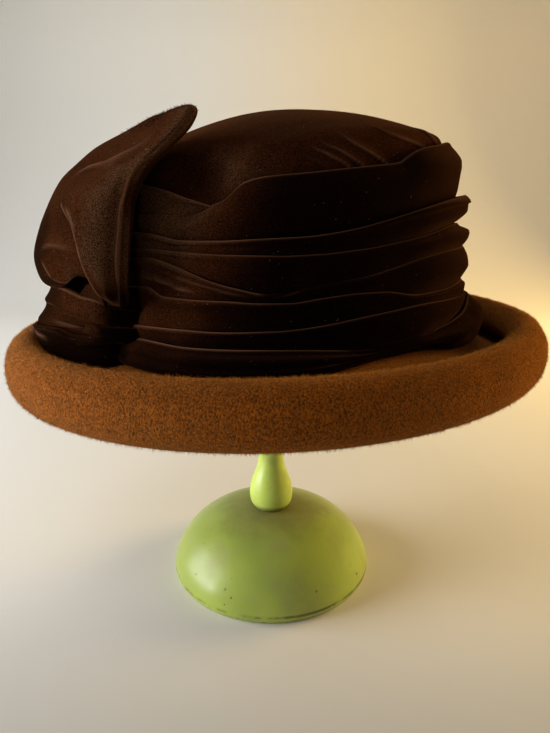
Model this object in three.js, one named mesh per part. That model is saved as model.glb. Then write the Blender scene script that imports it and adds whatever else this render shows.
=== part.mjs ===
// A breton hat: a rolled brown felt brim under a pleated dark velvet crown, with a two-loop
// velvet bow at the left front, standing on a plain turned wooden hat stand.
// Millimetres, +Z up. The origin is the middle of the stand's flat foot.
// Azimuths are degrees from +X towards +Y; the front of the view is -90.

import * as THREE from 'three';

// --- Driving dimensions -------------------------------------------------------------------

const HEAD_LONG = 99;            // half length of the head opening
const HEAD_SHORT = 84;           // half width of the head opening
const HEAD_TURN = 37;            // azimuth of the opening's long axis
const HAT_X = 6;                 // the hat sits this far to the right of the stand's axis
const GAP = 0.3;                 // clearance between neighbouring pieces
const BACKING_GAP = 0.5;         // the same where two facetted walls run side by side

const FELT = 3;                  // brim thickness
const BRIM_SHIFT = 3;            // how much wider the brim's right side is
const BRIM_RISE = 3.6;           // the rolled edge is tipped up this much on one side
const RISE_TOWARDS = 59;         // azimuth of the side that is tipped up
const BRIM_WIDTH = 58.5;         // opening to the outside of the roll

const VELVET = 2;                // crown wall
const PLEAT_WALL = 3;            // pleated band, two layers of velvet
const LOOP_WALL = 2.4;           // bow loops, folded double

const CROWN_FOOT = 166;          // height of the crown wall's lower edge
const PEAK = { x: 15, y: 5, z: 286 };
const DOME_CURVE = 0.0033;       // drop of the crown's tip for each square millimetre
const SHOULDER_OUT = -9.5;       // where the dome turns down, from the head opening
const DENT = { azimuth: -111, out: -3, z: 252, depth: 5, spread: 13 };

const FOOT_RADIUS = 62.5;
const BASE_RADIUS = 65;
const BASE_HEIGHT = 43;
const BASE_EDGE = 4;             // height of the widest line of the base
const SEAT_RADIUS = 12.4;        // flat that the stem stands on
const CAP_RADIUS = 50;
const CAP_RISE = 16;             // height of the cap's domed top
const CAP_EDGE = 9;              // thickness of the cap's edge
const CAP_CLEARANCE = 2;         // how far the cap's top stays under the crown where they bear

const BRIM_STEPS = 48;
const CROWN_STEPS = 44;
const PLEAT_STEPS = 50;

// Middle line of the felt, from its collar round the crown, out along the floor, and up and
// over the rolled edge.
// out: distance from the head opening, z: height.
const BRIM_LINE = [
  { out: 4.4, z: 173 },
  { out: 5.4, z: 167 },
  { out: 10, z: 163 },
  { out: 20, z: 158.6 },
  { out: 33, z: 151.4 },
  { out: 43, z: 146.8 },
  { out: 50, z: 146 },
  { out: 55.4, z: 150.2 },
  { out: 57, z: 158 },
  { out: 55.6, z: 165.6 },
  { out: 51, z: 170.6 },
  { out: 45.4, z: 171 },
  { out: 41.2, z: 167 },
  { out: 40.2, z: 161.2 },
  { out: 43, z: 157.2 },
];

// Crown wall below the shoulder. out: from the head opening, z: height.
const CROWN_WALL = [
  { out: -2.2, z: 234 },
  { out: 0.6, z: 200 },
  { out: 2, z: CROWN_FOOT },
];
const DOME_RINGS = [0.3, 0.55, 0.75, 0.9, 1];
const SHOULDER = [
  { out: -5.6, drop: 4.5 },
  { out: -3.6, drop: 12 },
];

// Azimuths at which the pleats are measured, once round the hat from the bow.
const STATIONS = [-126, -107, -92, -60, -40, -15, 40, 100, 160, 205];

// How loosely the pleats stand off the crown at each station, 1 being the loosest.
const SLACK = [0.3, 0.45, 0.5, 0.6, 0.8, 1, 0.9, 0.75, 0.6, 0.3];

// One row for each pleat, top to bottom. z: height of its upper edge at each station,
// valley: depth behind the edge from the head opening, edge: how far the upper edge stands
// out, belly: how far its middle stands out where the pleats are loosest.
const PLEATS = [
  { z: [244, 236, 245, 252, 260.5, 267, 263, 257, 252, 247], valley: -1.4, edge: 1, belly: 8.8 },
  { z: [222, 219.5, 220.5, 228, 235.5, 241, 238, 232, 227, 223], valley: 0.4, edge: 12, belly: 12.4 },
  { z: [215, 214, 213.5, 217.5, 222, 226, 222, 219, 216, 215], valley: 0.4, edge: 6, belly: 14.4 },
  { z: [210, 204, 199.5, 206.5, 212, 212, 209, 206, 205, 206], valley: 6.5, edge: 5, belly: 13.2 },
  { z: [198, 194.5, 193.5, 197.5, 197, 196, 194, 193, 193, 194], valley: 7.5, edge: 5, belly: 13.2 },
  { z: [181, 181.6, 182.2, 188, 188.5, 181, 181, 181, 181, 181], valley: 10, edge: 4, belly: 20 },
];
const PLEAT_BASE = 1;            // how far the valleys lie outside the head opening at least
const PLEAT_UNDERCUT = 1.4;      // how far a valley reaches up behind the edge under it
const PLEAT_TUCK = 1.5;          // how far a pleat's foot stands out from the next valley
const PLEAT_SKIN = 1.4;          // least thickness of the band over what it lies on
const HEM_VALLEY = 13;
const HEM_TURN = 1.6;            // the band's inner edge ends this far over the felt

// Lower edge of the band. out: from the head opening, lift: height over the felt.
const HEM = {
  out: [8.5, 10.5, 11.5, 13, 15, 19, 17, 14, 12, 8.5],
  lift: [1.5, 1.3, 1.2, 2.8, 3, 1.1, 1, 1, 1, 1.4],
};

// Upper loop: a leaf of velvet standing off the crown. One row for each section, bottom to
// tip; hem is its rolled right edge, face its front, fold the crease in the front, side its
// left outline, back the edge that turns in behind.
const LEAF = [
  { hem: [-60, -96, 193], face: [-71, -97, 192], fold: [-83, -92, 195.5], side: [-113, -61, 198],
    back: [-106, -24, 203] },
  { hem: [-59, -100, 209], face: [-70, -103, 209], fold: [-82, -100, 210], side: [-116, -60, 210],
    back: [-105.8, -22, 214] },
  { hem: [-57, -100, 224], face: [-71, -102, 225], fold: [-86, -96, 225], side: [-112, -58, 224],
    back: [-102.8, -22, 226] },
  { hem: [-55, -98, 237], face: [-71, -98, 238], fold: [-91, -85, 236], side: [-106, -54, 237],
    back: [-98.4, -23, 237] },
  { hem: [-50, -94, 248], face: [-65, -92, 249], fold: [-85, -77, 248], side: [-98, -50, 247],
    back: [-92.4, -26, 246] },
  { hem: [-43, -91, 258], face: [-57, -88, 259], fold: [-73, -76, 257], side: [-86, -52, 256.5],
    back: [-79, -34, 256] },
  { hem: [-36, -89, 266], face: [-47, -85, 266], fold: [-59, -75, 265], side: [-67, -60, 265],
    back: [-63, -47, 263] },
  { hem: [-30, -87, 272], face: [-35, -83, 273], fold: [-41, -77, 273], side: [-46, -68, 272],
    back: [-47, -61, 269] },
];

// Lower loop: a flat bag of velvet under the leaf. One row for each section from the bow's
// middle round to the left. radius is from the hat's middle; top and bottom are heights.
const LOWER_LOOP = [
  { azimuth: 232, radius: 111.2, top: 191, bottom: 170 },
  { azimuth: 225, radius: 122, top: 195, bottom: 167 },
  { azimuth: 216, radius: 129, top: 198, bottom: 165 },
  { azimuth: 207, radius: 132.5, top: 196, bottom: 163.5 },
  { azimuth: 197, radius: 127, top: 192, bottom: 165 },
  { azimuth: 188, radius: 116, top: 189, bottom: 168 },
];

// Stem of the stand above the base. radius: half its thickness, rise: height over the seat.
const STEM_LINE = [
  { radius: 11.6, rise: 0 },
  { radius: 13.6, rise: 4 },
  { radius: 14.2, rise: 10 },
  { radius: 12.6, rise: 18 },
  { radius: 9.4, rise: 27 },
  { radius: 8.1, rise: 35 },
  { radius: 9, rise: 48 },
  { radius: 10.4, rise: 75 },
  { radius: 10.8, rise: 120 },
  { radius: 9.6, rise: 170 },
];

// --- Colours ------------------------------------------------------------------------------

const felt = new THREE.MeshStandardMaterial({ color: 0x7d4a22, roughness: 0.95, metalness: 0 });
const velvet = new THREE.MeshStandardMaterial({ color: 0x2b1a10, roughness: 0.85, metalness: 0 });
const paint = new THREE.MeshStandardMaterial({ color: 0x8d9c3e, roughness: 0.3, metalness: 0 });

// --- Shape helpers ------------------------------------------------------------------------

const radians = THREE.MathUtils.degToRad;

/** Builds a closed body from points and quads or triangles, with its faces pointing out. */
function closedBody(points, faces) {
  const triangles = faces.flatMap((f) => (f.length === 4 ? [f[0], f[1], f[2], f[0], f[2], f[3]] : f));
  let volume = 0;
  for (let i = 0; i < triangles.length; i += 3) {
    const [a, b, c] = triangles.slice(i, i + 3).map((index) => points[index]);
    volume += a.dot(new THREE.Vector3().crossVectors(b, c));
  }
  const geometry = new THREE.BufferGeometry().setFromPoints(points);
  geometry.setIndex(volume > 0 ? triangles : triangles.reverse());
  geometry.computeVertexNormals();
  return geometry;
}

/** Lofts rings of points into a body. A ring of one point is a pole; closed joins the ends. */
function loftRings(rings, closed) {
  const points = rings.flat();
  const starts = rings.map((_, i) => rings.slice(0, i).reduce((sum, ring) => sum + ring.length, 0));
  const faces = [];
  const last = closed ? rings.length : rings.length - 1;
  for (let i = 0; i < last; i += 1) {
    const j = (i + 1) % rings.length;
    const count = Math.max(rings[i].length, rings[j].length);
    for (let k = 0; k < count; k += 1) {
      const next = (k + 1) % count;
      const a = starts[i];
      const b = starts[j];
      if (rings[i].length === 1) faces.push([a, b + next, b + k]);
      else if (rings[j].length === 1) faces.push([a + k, a + next, b]);
      else faces.push([a + k, a + next, b + next, b + k]);
    }
  }
  return closedBody(points, faces);
}

/** Thickens a grid of points, its rows of equal length, into a closed sheet. */
function sheetBody(grid, thickness) {
  const rows = grid.length;
  const columns = grid[0].length;
  const at = (i, j) => grid[THREE.MathUtils.clamp(i, 0, rows - 1)][THREE.MathUtils.clamp(j, 0, columns - 1)];
  const offset = (i, j, distance) => {
    const along = new THREE.Vector3().subVectors(at(i + 1, j), at(i - 1, j));
    const across = new THREE.Vector3().subVectors(at(i, j + 1), at(i, j - 1));
    return at(i, j).clone().addScaledVector(along.cross(across).normalize(), distance);
  };
  const loops = grid.map((row, i) => [
    ...row.map((_, j) => offset(i, j, thickness / 2)),
    ...row.map((_, j) => offset(i, columns - 1 - j, -thickness / 2)),
  ]);
  const size = 2 * columns;
  const faces = [];
  for (let i = 0; i < rows - 1; i += 1) {
    for (let k = 0; k < size; k += 1) {
      const next = (k + 1) % size;
      faces.push([i * size + k, i * size + next, (i + 1) * size + next, (i + 1) * size + k]);
    }
  }
  const lastRow = (rows - 1) * size;
  for (let j = 0; j < columns - 1; j += 1) {
    faces.push([j + 1, j, size - 1 - j, size - 2 - j]);
    faces.push([lastRow + j, lastRow + j + 1, lastRow + size - 2 - j, lastRow + size - 1 - j]);
  }
  return closedBody(loops.flat(), faces);
}

/** Smooth grid through rows of control points. */
function smoothGrid(rows, along, across) {
  const sections = rows.map((row) => new THREE.CatmullRomCurve3(row).getPoints(across));
  const lines = sections[0].map((_, j) => {
    const line = new THREE.CatmullRomCurve3(sections.map((section) => section[j]));
    return line.getPoints(along);
  });
  return lines[0].map((_, i) => lines.map((line) => line[i]));
}

/** Smooth function of azimuth through values at the stations. */
function aroundHat(values) {
  const turns = [...STATIONS, STATIONS[0] + 360];
  const samples = [...values, values[0]];
  const curve = new THREE.CubicInterpolant(turns, samples, 1, new Float32Array(1));
  curve.settings = { endingStart: THREE.WrapAroundEnding, endingEnd: THREE.WrapAroundEnding };
  return (azimuth) => curve.evaluate(THREE.MathUtils.euclideanModulo(azimuth - turns[0], 360) + turns[0])[0];
}

/** Distance of the head opening's edge from the hat's middle, grown outwards by out. */
function ovalRadius(azimuth, out) {
  const turn = radians(azimuth - HEAD_TURN);
  const long = HEAD_LONG + out;
  const short = HEAD_SHORT + out;
  return (long * short) / Math.hypot(short * Math.cos(turn), long * Math.sin(turn));
}

/** Point at a distance from the hat's middle. */
function hatPoint(azimuth, radius, z) {
  const turn = radians(azimuth);
  return new THREE.Vector3(HAT_X + radius * Math.cos(turn), radius * Math.sin(turn), z);
}

const azimuths = (steps) => Array.from({ length: steps }, (_, i) => (i * 360) / steps);

/** Moves a line of { out, z } points sideways by distance. */
function sideways(line, distance) {
  return line.map((point, i) => {
    const before = line[Math.max(i - 1, 0)];
    const after = line[Math.min(i + 1, line.length - 1)];
    const length = Math.hypot(after.out - before.out, after.z - before.z);
    return {
      out: point.out - (distance * (after.z - before.z)) / length,
      z: point.z + (distance * (after.out - before.out)) / length,
    };
  });
}

// --- Felt brim ----------------------------------------------------------------------------

/** How much the tipped brim is raised at a distance from the head opening. */
function brimRise(azimuth, out) {
  return BRIM_RISE * (out / BRIM_WIDTH) * Math.cos(radians(azimuth - RISE_TOWARDS));
}

function brimGeometry() {
  const top = sideways(BRIM_LINE, FELT / 2);
  const under = sideways(BRIM_LINE, -FELT / 2).reverse();
  const rings = [...top, ...under].map(({ out, z }) => azimuths(BRIM_STEPS).map((azimuth) => {
    const shift = BRIM_SHIFT * (out / BRIM_WIDTH) * Math.cos(radians(azimuth));
    return hatPoint(azimuth, ovalRadius(azimuth, out) + shift, z + brimRise(azimuth, out));
  }));
  return loftRings(rings, true);
}

/** Height of the felt's upper face at a distance from the head opening. */
function feltTop(azimuth, out) {
  const floor = sideways(BRIM_LINE.slice(0, 5), FELT / 2);
  const i = Math.max(floor.findIndex((point) => point.out >= out), 1);
  const [inner, outer] = [floor[i - 1], floor[i]];
  const z = THREE.MathUtils.mapLinear(out, inner.out, outer.out, inner.z, outer.z);
  return z + brimRise(azimuth, out);
}

// --- Velvet crown -------------------------------------------------------------------------

/** Presses the soft hollow into the crown's left front. */
function dented(point) {
  const centre = hatPoint(DENT.azimuth, ovalRadius(DENT.azimuth, DENT.out), DENT.z);
  const push = DENT.depth * Math.exp(-((point.distanceTo(centre) / DENT.spread) ** 2));
  const inwards = new THREE.Vector3(PEAK.x - point.x, PEAK.y - point.y, 0).normalize();
  return point.addScaledVector(inwards, push);
}

/** Rings of the crown's outer skin, or of its inner skin when inset is the wall's thickness. */
function crownRings(inset) {
  const domeHeight = (x, y) => PEAK.z - inset - DOME_CURVE * ((x - PEAK.x) ** 2 + (y - PEAK.y) ** 2);
  const edge = (azimuth, out) => hatPoint(azimuth, ovalRadius(azimuth, out - inset), 0);
  const dome = DOME_RINGS.map((share) => azimuths(CROWN_STEPS).map((azimuth) => {
    const rim = edge(azimuth, SHOULDER_OUT);
    const x = THREE.MathUtils.lerp(PEAK.x, rim.x, share);
    const y = THREE.MathUtils.lerp(PEAK.y, rim.y, share);
    return dented(new THREE.Vector3(x, y, domeHeight(x, y)));
  }));
  const shoulder = SHOULDER.map(({ out, drop }) => azimuths(CROWN_STEPS).map((azimuth) => {
    const rim = edge(azimuth, SHOULDER_OUT);
    const point = edge(azimuth, out);
    return dented(point.setZ(domeHeight(rim.x, rim.y) - drop));
  }));
  const wall = CROWN_WALL.map(({ out, z }) => azimuths(CROWN_STEPS).map(
    (azimuth) => edge(azimuth, out).setZ(z),
  ));
  return [[new THREE.Vector3(PEAK.x, PEAK.y, PEAK.z - inset)], ...dome, ...shoulder, ...wall];
}

function crownGeometry() {
  return loftRings([...crownRings(0), ...crownRings(VELVET).reverse()], false);
}

/** How far what the pleated band lies on is from the head opening: collar, then crown wall. */
function backingOut(z) {
  const collar = { out: BRIM_LINE[0].out + FELT / 2 + 1, z: BRIM_LINE[0].z + 8 };
  const line = [{ out: SHOULDER[1].out + 1.6, z: 248 }, ...CROWN_WALL.slice(0, 2), collar,
    { out: collar.out, z: 0 }];
  const i = Math.max(line.findIndex((point) => point.z <= z), 1);
  const [above, below] = [line[i - 1], line[i]];
  return THREE.MathUtils.mapLinear(z, below.z, above.z, below.out, above.out);
}

// --- Pleated band -------------------------------------------------------------------------

const slackAt = aroundHat(SLACK);
const pleats = PLEATS.map((pleat) => ({ ...pleat, zAt: aroundHat(pleat.z) }));
const hemOutAt = aroundHat(HEM.out);
const hemLiftAt = aroundHat(HEM.lift);

/** Outer line of the pleated band at an azimuth, from its top edge to its hem. */
function pleatLine(azimuth) {
  const slack = slackAt(azimuth);
  const hemOut = hemOutAt(azimuth);
  const hemZ = feltTop(azimuth, hemOut) + hemLiftAt(azimuth);
  const line = [];
  pleats.forEach((pleat, i) => {
    const below = pleats[i + 1];
    const z = pleat.zAt(azimuth);
    const drop = z - (below ? below.zAt(azimuth) : hemZ);
    const valley = pleat.valley * slack;
    const valleyBelow = (below?.valley ?? HEM_VALLEY) * slack;
    if (i > 0) line.push({ out: valley, z: z + PLEAT_UNDERCUT });
    line.push({ out: valley + pleat.edge * slack, z });
    line.push({ out: valley * 0.5 + pleat.belly * slack, z: z - drop * 0.35 });
    line.push({ out: valleyBelow + PLEAT_TUCK, z: z - drop * 0.75 });
  });
  const pleated = line.map(({ out, z }) => {
    return { out: Math.max(out + PLEAT_BASE, backingOut(z) + PLEAT_SKIN), z };
  });
  return [...pleated, { out: Math.max(hemOut, backingOut(hemZ) + PLEAT_SKIN), z: hemZ }];
}

/** Inner line of the band at an azimuth, from its hem back up to its top edge. */
function backingLine(azimuth, outer) {
  const rows = outer.filter((_, i) => i % 2 === 0 || i === outer.length - 1).reverse();
  const line = rows.map(({ out, z }) => {
    return { out: Math.max(out - PLEAT_WALL, backingOut(z) + BACKING_GAP), z };
  });
  line[0].z = Math.max(line[0].z, feltTop(azimuth, line[0].out)) + HEM_TURN;
  return line;
}

function drapeGeometry() {
  const columns = azimuths(PLEAT_STEPS).map((azimuth) => {
    const outer = pleatLine(azimuth);
    const loop = [...outer, ...backingLine(azimuth, outer)];
    return loop.map(({ out, z }) => hatPoint(azimuth, ovalRadius(azimuth, out), z));
  });
  const rings = columns[0].map((_, i) => columns.map((column) => column[i]));
  return loftRings(rings, true);
}

// --- Bow loops ----------------------------------------------------------------------------

function upperLoopGeometry() {
  const rows = LEAF.map(({ hem, face, fold, side, back }) => [hem, face, fold, side, back]
    .map((point) => new THREE.Vector3(...point)));
  return sheetBody(smoothGrid(rows, 14, 12), LOOP_WALL);
}

function lowerLoopGeometry() {
  const rows = LOWER_LOOP.map(({ azimuth, radius, top, bottom }) => [
    hatPoint(azimuth, radius - 6, top - 3),
    hatPoint(azimuth, radius - 2, top),
    hatPoint(azimuth, radius, top - (top - bottom) * 0.35),
    hatPoint(azimuth, radius, bottom + 4),
    hatPoint(azimuth, radius - 4, bottom),
  ]);
  return sheetBody(smoothGrid(rows, 12, 8), LOOP_WALL);
}

// --- Stand --------------------------------------------------------------------------------

/** Turns a profile of [radius, height] pairs that starts and ends on the axis. */
function turned(profile, steps) {
  const points = profile.map(([radius, height]) => new THREE.Vector2(radius, height));
  const geometry = new THREE.LatheGeometry(points, steps);
  geometry.rotateX(Math.PI / 2);
  return geometry;
}

/** Height of the base's domed top at a radius. */
function baseHeight(radius) {
  const share = (radius / BASE_RADIUS) ** 2.6;
  return BASE_EDGE + (BASE_HEIGHT - BASE_EDGE) * (1 - share) ** (1 / 1.7);
}

const SEAT_Z = baseHeight(SEAT_RADIUS);

function baseGeometry() {
  const arc = [24, 34, 43, 50, 56, 60.5, 63.4, 64.6].map((radius) => [radius, baseHeight(radius)]);
  const profile = [[0, SEAT_Z], [SEAT_RADIUS, SEAT_Z], ...arc, [BASE_RADIUS, BASE_EDGE],
    [FOOT_RADIUS + 1.5, 1.2], [FOOT_RADIUS, 0], [0, 0]];
  return turned(profile.reverse(), 36);
}

const CROWN_INSIDE = PEAK.z - VELVET - DOME_CURVE * (PEAK.x ** 2 + PEAK.y ** 2);
const CAP_TOP = CROWN_INSIDE - CAP_CLEARANCE;
const CAP_FOOT = CAP_TOP - CAP_RISE - CAP_EDGE;

function stemGeometry() {
  const foot = SEAT_Z + GAP;
  const top = CAP_FOOT - GAP;
  const line = STEM_LINE.map(({ radius, rise }) => [radius, foot + rise]);
  const [topRadius] = line[line.length - 1];
  return turned([[0, foot], ...line, [topRadius, top], [0, top]], 20);
}

function capGeometry() {
  const dome = [0.95, 0.8, 0.6, 0.4, 0.2].map((share) => [
    CAP_RADIUS * share,
    CAP_TOP - CAP_RISE * share ** 2.2,
  ]);
  return turned([[0, CAP_FOOT], [CAP_RADIUS - 3, CAP_FOOT], [CAP_RADIUS, CAP_FOOT + 3], ...dome,
    [0, CAP_TOP]], 32);
}

// --- Assembly -----------------------------------------------------------------------------

const hat = new THREE.Group();
const stand = new THREE.Group();
const group = new THREE.Group();
group.add(hat, stand);

function addPiece(parent, name, geometry, material) {
  const mesh = new THREE.Mesh(geometry, material);
  mesh.name = name;
  parent.add(mesh);
}

addPiece(hat, 'brim', brimGeometry(), felt);
addPiece(hat, 'crown', crownGeometry(), velvet);
addPiece(hat, 'side_drape', drapeGeometry(), velvet);
addPiece(hat, 'upper_loop', upperLoopGeometry(), velvet);
addPiece(hat, 'lower_loop', lowerLoopGeometry(), velvet);
addPiece(stand, 'stand_base', baseGeometry(), paint);
addPiece(stand, 'stand_stem', stemGeometry(), paint);
addPiece(stand, 'stand_cap', capGeometry(), paint);

export default group;
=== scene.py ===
"""A felt breton hat with a velvet crown, gathered band and bow, on a turned hat stand."""

import math

import bpy
import numpy as np
from bpy.props import FloatProperty, FloatVectorProperty, IntProperty, PointerProperty
from bpy.types import Operator, Panel, PropertyGroup
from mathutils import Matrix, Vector


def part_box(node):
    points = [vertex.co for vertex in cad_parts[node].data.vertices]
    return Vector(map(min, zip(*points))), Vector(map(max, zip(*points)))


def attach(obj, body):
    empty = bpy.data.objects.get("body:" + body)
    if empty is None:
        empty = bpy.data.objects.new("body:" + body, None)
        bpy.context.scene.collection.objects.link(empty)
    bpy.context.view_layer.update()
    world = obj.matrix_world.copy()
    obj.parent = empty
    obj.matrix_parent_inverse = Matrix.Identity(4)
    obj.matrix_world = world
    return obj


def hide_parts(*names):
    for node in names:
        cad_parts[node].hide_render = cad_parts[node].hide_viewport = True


bl_info = {
    "name": "Breton Hat",
    "version": (1, 0, 0),
    "blender": (4, 5, 0),
    "location": "View3D > Sidebar > Hat",
    "description": "Models a rolled-brim felt hat with a pleated velvet crown and bow on its stand",
    "category": "Object",
}

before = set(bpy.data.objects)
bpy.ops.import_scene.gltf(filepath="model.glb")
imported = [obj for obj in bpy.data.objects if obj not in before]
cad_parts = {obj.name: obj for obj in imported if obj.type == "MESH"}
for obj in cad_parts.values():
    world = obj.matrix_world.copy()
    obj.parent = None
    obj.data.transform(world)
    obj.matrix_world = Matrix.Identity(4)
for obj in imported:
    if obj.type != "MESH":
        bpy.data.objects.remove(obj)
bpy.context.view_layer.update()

# Sizes are in millimetres and angles in degrees, except in what bpy is given. An azimuth turns
# about the hat's middle, anticlockwise from the right as seen from above. The head line is the
# oval of the head's opening, and what stands off it is measured outwards.
MM = 0.001
HAT_X = 6.0                # the hat sits this far to the right of the stand's axis
BRIM_WIDTH = 58.5          # from the head line to the outside of the roll
BRIM_SHIFT = 3.0           # how much wider the brim's right side is
BRIM_RISE = 3.6            # the rolled edge is tipped up this much on one side
RISE_TOWARDS = 59.0        # azimuth of the side that is tipped up
LATHE_RADIUS = 100.0       # the brim is turned about this radius, then eased onto the oval
PEAK = np.array([15.0, 5.0, 286.0])    # the crown's highest point
DOME_CURVE = 0.0033        # drop of the crown's tip for each square millimetre
SHOULDER_OUT = -13.5       # where the tip's rim turns over into the shoulder
CROWN_FOOT = 166.0         # height of the crown wall's foot
SEAT_RADIUS = 12.4         # flat seat on the base that takes the stem
SEAM_GAP = 0.3             # left between one turned piece and the next

# Middle line of the felt: distance from the head line, height.
BRIM_LINE = [
    (4.4, 173), (5.4, 167), (10, 163), (20, 158.6), (33, 151.4), (43, 146.8), (50, 146),
    (55.4, 150.2), (57, 158), (55.6, 165.6), (51, 170.6), (45.4, 171), (41.2, 167),
    (40.2, 161.2), (43, 157.2),
]

# How loosely the gathered band stands off the crown, by azimuth. 1 is the loosest.
FULLNESS = {-126: 0.32, -107: 0.45, -92: 0.5, -60: 0.6, -40: 0.8, -15: 1, 40: 0.9, 100: 0.75,
            160: 0.6, 205: 0.34}

# Folds of the band, top to bottom. height is of the crest, by azimuth. crest, belly and
# valley are how far the edge, the slope under it and the fold's root stand off at fullness 1,
# lip is the edge's roundness and mark how sharply the fold is laid, 0 where it dies out.
FOLDS = [
    dict(height={-128: 242.9, -121: 240.2, -116: 237.3, -110: 234.6, -104: 232, -96: 232,
                 -80: 235, -59: 240, -40: 247, -15: 254, 40: 252, 100: 247, 160: 242,
                 190: 241, 205: 244.5, 220: 246},
         crest=0.6, belly=2.4, valley=0, lip=1.1, mark=1),
    dict(height={-128: 229, -117: 229.4, -112: 231, -109: 234.2, -106: 236.8, -103: 241,
                 -100: 243.8, -96: 245.2, -91: 246.2, -81: 247.8, -72: 249.5, -59: 251.7,
                 -51: 253.3, -47: 256.2, -42: 259.6, -27: 264, -15: 266.6, 0: 267, 40: 264,
                 80: 259, 120: 255, 160: 251, 190: 248, 205: 244, 215: 238},
         crest=1.2, belly={-128: 8, -92: 9.5, -40: 9.2, -12: 8.1, 40: 9, 100: 9, 205: 8},
         valley=-2, lip=1.6,
         mark={-128: 0, -119: 0.15, -114: 0.75, -108: 1, 190: 1, 205: 0.5, 218: 0}),
    dict(height={-127: 222.3, -122: 221, -116: 219.3, -107: 219.4, -96: 220.4, -85: 221.3,
                 -76: 223, -61: 227.7, -47: 232.7, -30: 237.9, -15: 240.6, 0: 241, 40: 238,
                 100: 232, 160: 227, 205: 223.5},
         crest={-128: 12.5, -92: 12.4, -40: 12.4, -15: 12, 40: 12.5, 160: 12},
         belly={-128: 13.6, -92: 13.2, -60: 12.8, -40: 12.8, -15: 13.8, 40: 12.5, 100: 12.6},
         valley={-128: 5, -92: 5.5, -40: 4.6, -15: 6.4, 40: 5, 160: 5},
         lip={-128: 1.4, -50: 1.4, -32: 2.4, -20: 4, 10: 4, 45: 1.8, 160: 1.5}, mark=1),
    dict(height={-127: 215.3, -119: 214.8, -107: 213.7, -93: 213.3, -82: 213.7, -68: 215.5,
                 -52: 218.8, -41: 221.1, -26: 224.8, -15: 226, 0: 226, 40: 222, 100: 219,
                 160: 216, 205: 215},
         crest={-128: 12, -92: 11.6, -60: 11, -40: 9.5, -15: 8.6, 40: 9.5, 160: 11},
         belly={-128: 14.2, -92: 14.4, -15: 15.2, 40: 14.6},
         valley={-128: 8, -92: 8, -40: 5, -15: 3, 40: 5, 160: 7.5}, lip=1.4, mark=1),
    dict(height={-126: 211.5, -119: 208.9, -107: 202, -101: 199.3, -95: 197.3, -91: 197.4,
                 -83: 200, -72: 202.2, -66: 203.4, -56: 206.7, -43: 210.9, -29: 213.2,
                 -15: 213.8, 0: 213.5, 40: 212, 100: 209, 160: 206, 205: 206},
         crest={-128: 13.5, -95: 14, -83: 12.6, -15: 12.4, 160: 12.5},
         belly={-128: 14, -92: 14.2, -15: 16, 160: 14.5},
         valley={-128: 8.5, -95: 8, -83: 10, -15: 10.2, 160: 9.5}, lip=1.6,
         mark={-128: 1, -97: 1, -92: 0.45, -87: 0.3, -80: 0.5, -70: 0.8, -60: 1}),
    dict(height={-127: 198.6, -122: 194.6, -113: 194, -105: 193.9, -96: 193, -88: 193.3,
                 -78: 195.2, -68: 196.3, -60: 196.2, -46: 193.3, -30: 194, -15: 195.5,
                 0: 195, 40: 194, 100: 193, 160: 193, 205: 194},
         crest={-128: 14, -92: 14.4, -15: 13, 160: 13.5},
         belly={-128: 14.6, -92: 15.4, -15: 15.6, 160: 15},
         valley={-128: 9.5, -92: 9.5, -60: 9, -46: 8.6, -15: 10.8, 160: 10}, lip=1.4, mark=1),
    dict(height={-129: 181, -115: 181.1, -107: 180.8, -93: 181.2, -85: 182.1, -79: 183,
                 -69: 185, -57: 187, -41: 188.7, -15: 188.2, 0: 187, 40: 185, 100: 183,
                 160: 182, 205: 181},
         crest={-128: 27, -107: 20.5, -92: 17.2, -15: 15.4, 160: 15.5},
         belly={-128: 30, -107: 22.5, -92: 18.6, -15: 16.6, 160: 17},
         valley={-128: 21, -107: 15.5, -92: 12.5, -15: 13, 160: 12.5}, lip=1.4,
         mark={-128: 1, -30: 1, -18: 0.7, 0: 0.6, 40: 1}),
    dict(height={-128: 175.2, -115: 173.5, -107: 173.2, -96: 173, -85: 172.5, -76: 171.3,
                 -65: 170.4, -56: 171, -48: 172.6, -42: 173.8, -36: 174.8, -30: 176.2,
                 -25: 177.8, -20: 179.8, -15: 183.6, -10: 187, 0: 186.4, 40: 182, 100: 178.5,
                 160: 177, 205: 176},
         crest={-128: 30, -107: 23, -92: 19.5, -60: 16, -40: 15, -15: 17.6, 40: 17, 160: 17},
         belly={-128: 46, -116: 44, -107: 39, -92: 34, -75: 27, -60: 21, -50: 20.5, -40: 22,
                -30: 26, -15: 26.4, 40: 24, 160: 21, 205: 27},
         valley={-128: 24, -107: 18, -92: 14.5, -40: 13, -15: 13.6, 160: 13.5}, lip=1.5,
         mark={-128: 1, -76: 1, -65: 0.4, -56: 0, -48: 0.1, -42: 0.6, -36: 1}),
]
FOLD_BASE = 1.0            # how far the folds stand off where the fullness is 0
FOLD_HEIGHT = 3.5          # a fold counts as at least this high
BELLY_DOWN = 0.42          # how far down a fold its belly lies, as a share of its height

# By azimuth: how far out the hem lies, how high above the felt, and how far the last fold
# bulges over it.
HEM_OUT = {-128: 16, -116: 18, -107: 19, -92: 18.5, -80: 17, -70: 14, -60: 12, -50: 12,
           -40: 14, -30: 18.5, -20: 21, -10: 20.5, 40: 17, 100: 14, 160: 12, 205: 9.5}
HEM_LIFT = {-126: 1.5, -107: 1.3, -92: 1.2, -60: 1.4, -40: 1.5, -15: 1.1, 40: 1, 205: 1.2}
HEM_FULL = {-128: 1.2, -92: 1.2, -45: 1.4, -28: 3.6, -12: 4, 40: 2, 205: 1.2}


# --- Numbers and curves -------------------------------------------------------------------

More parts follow.
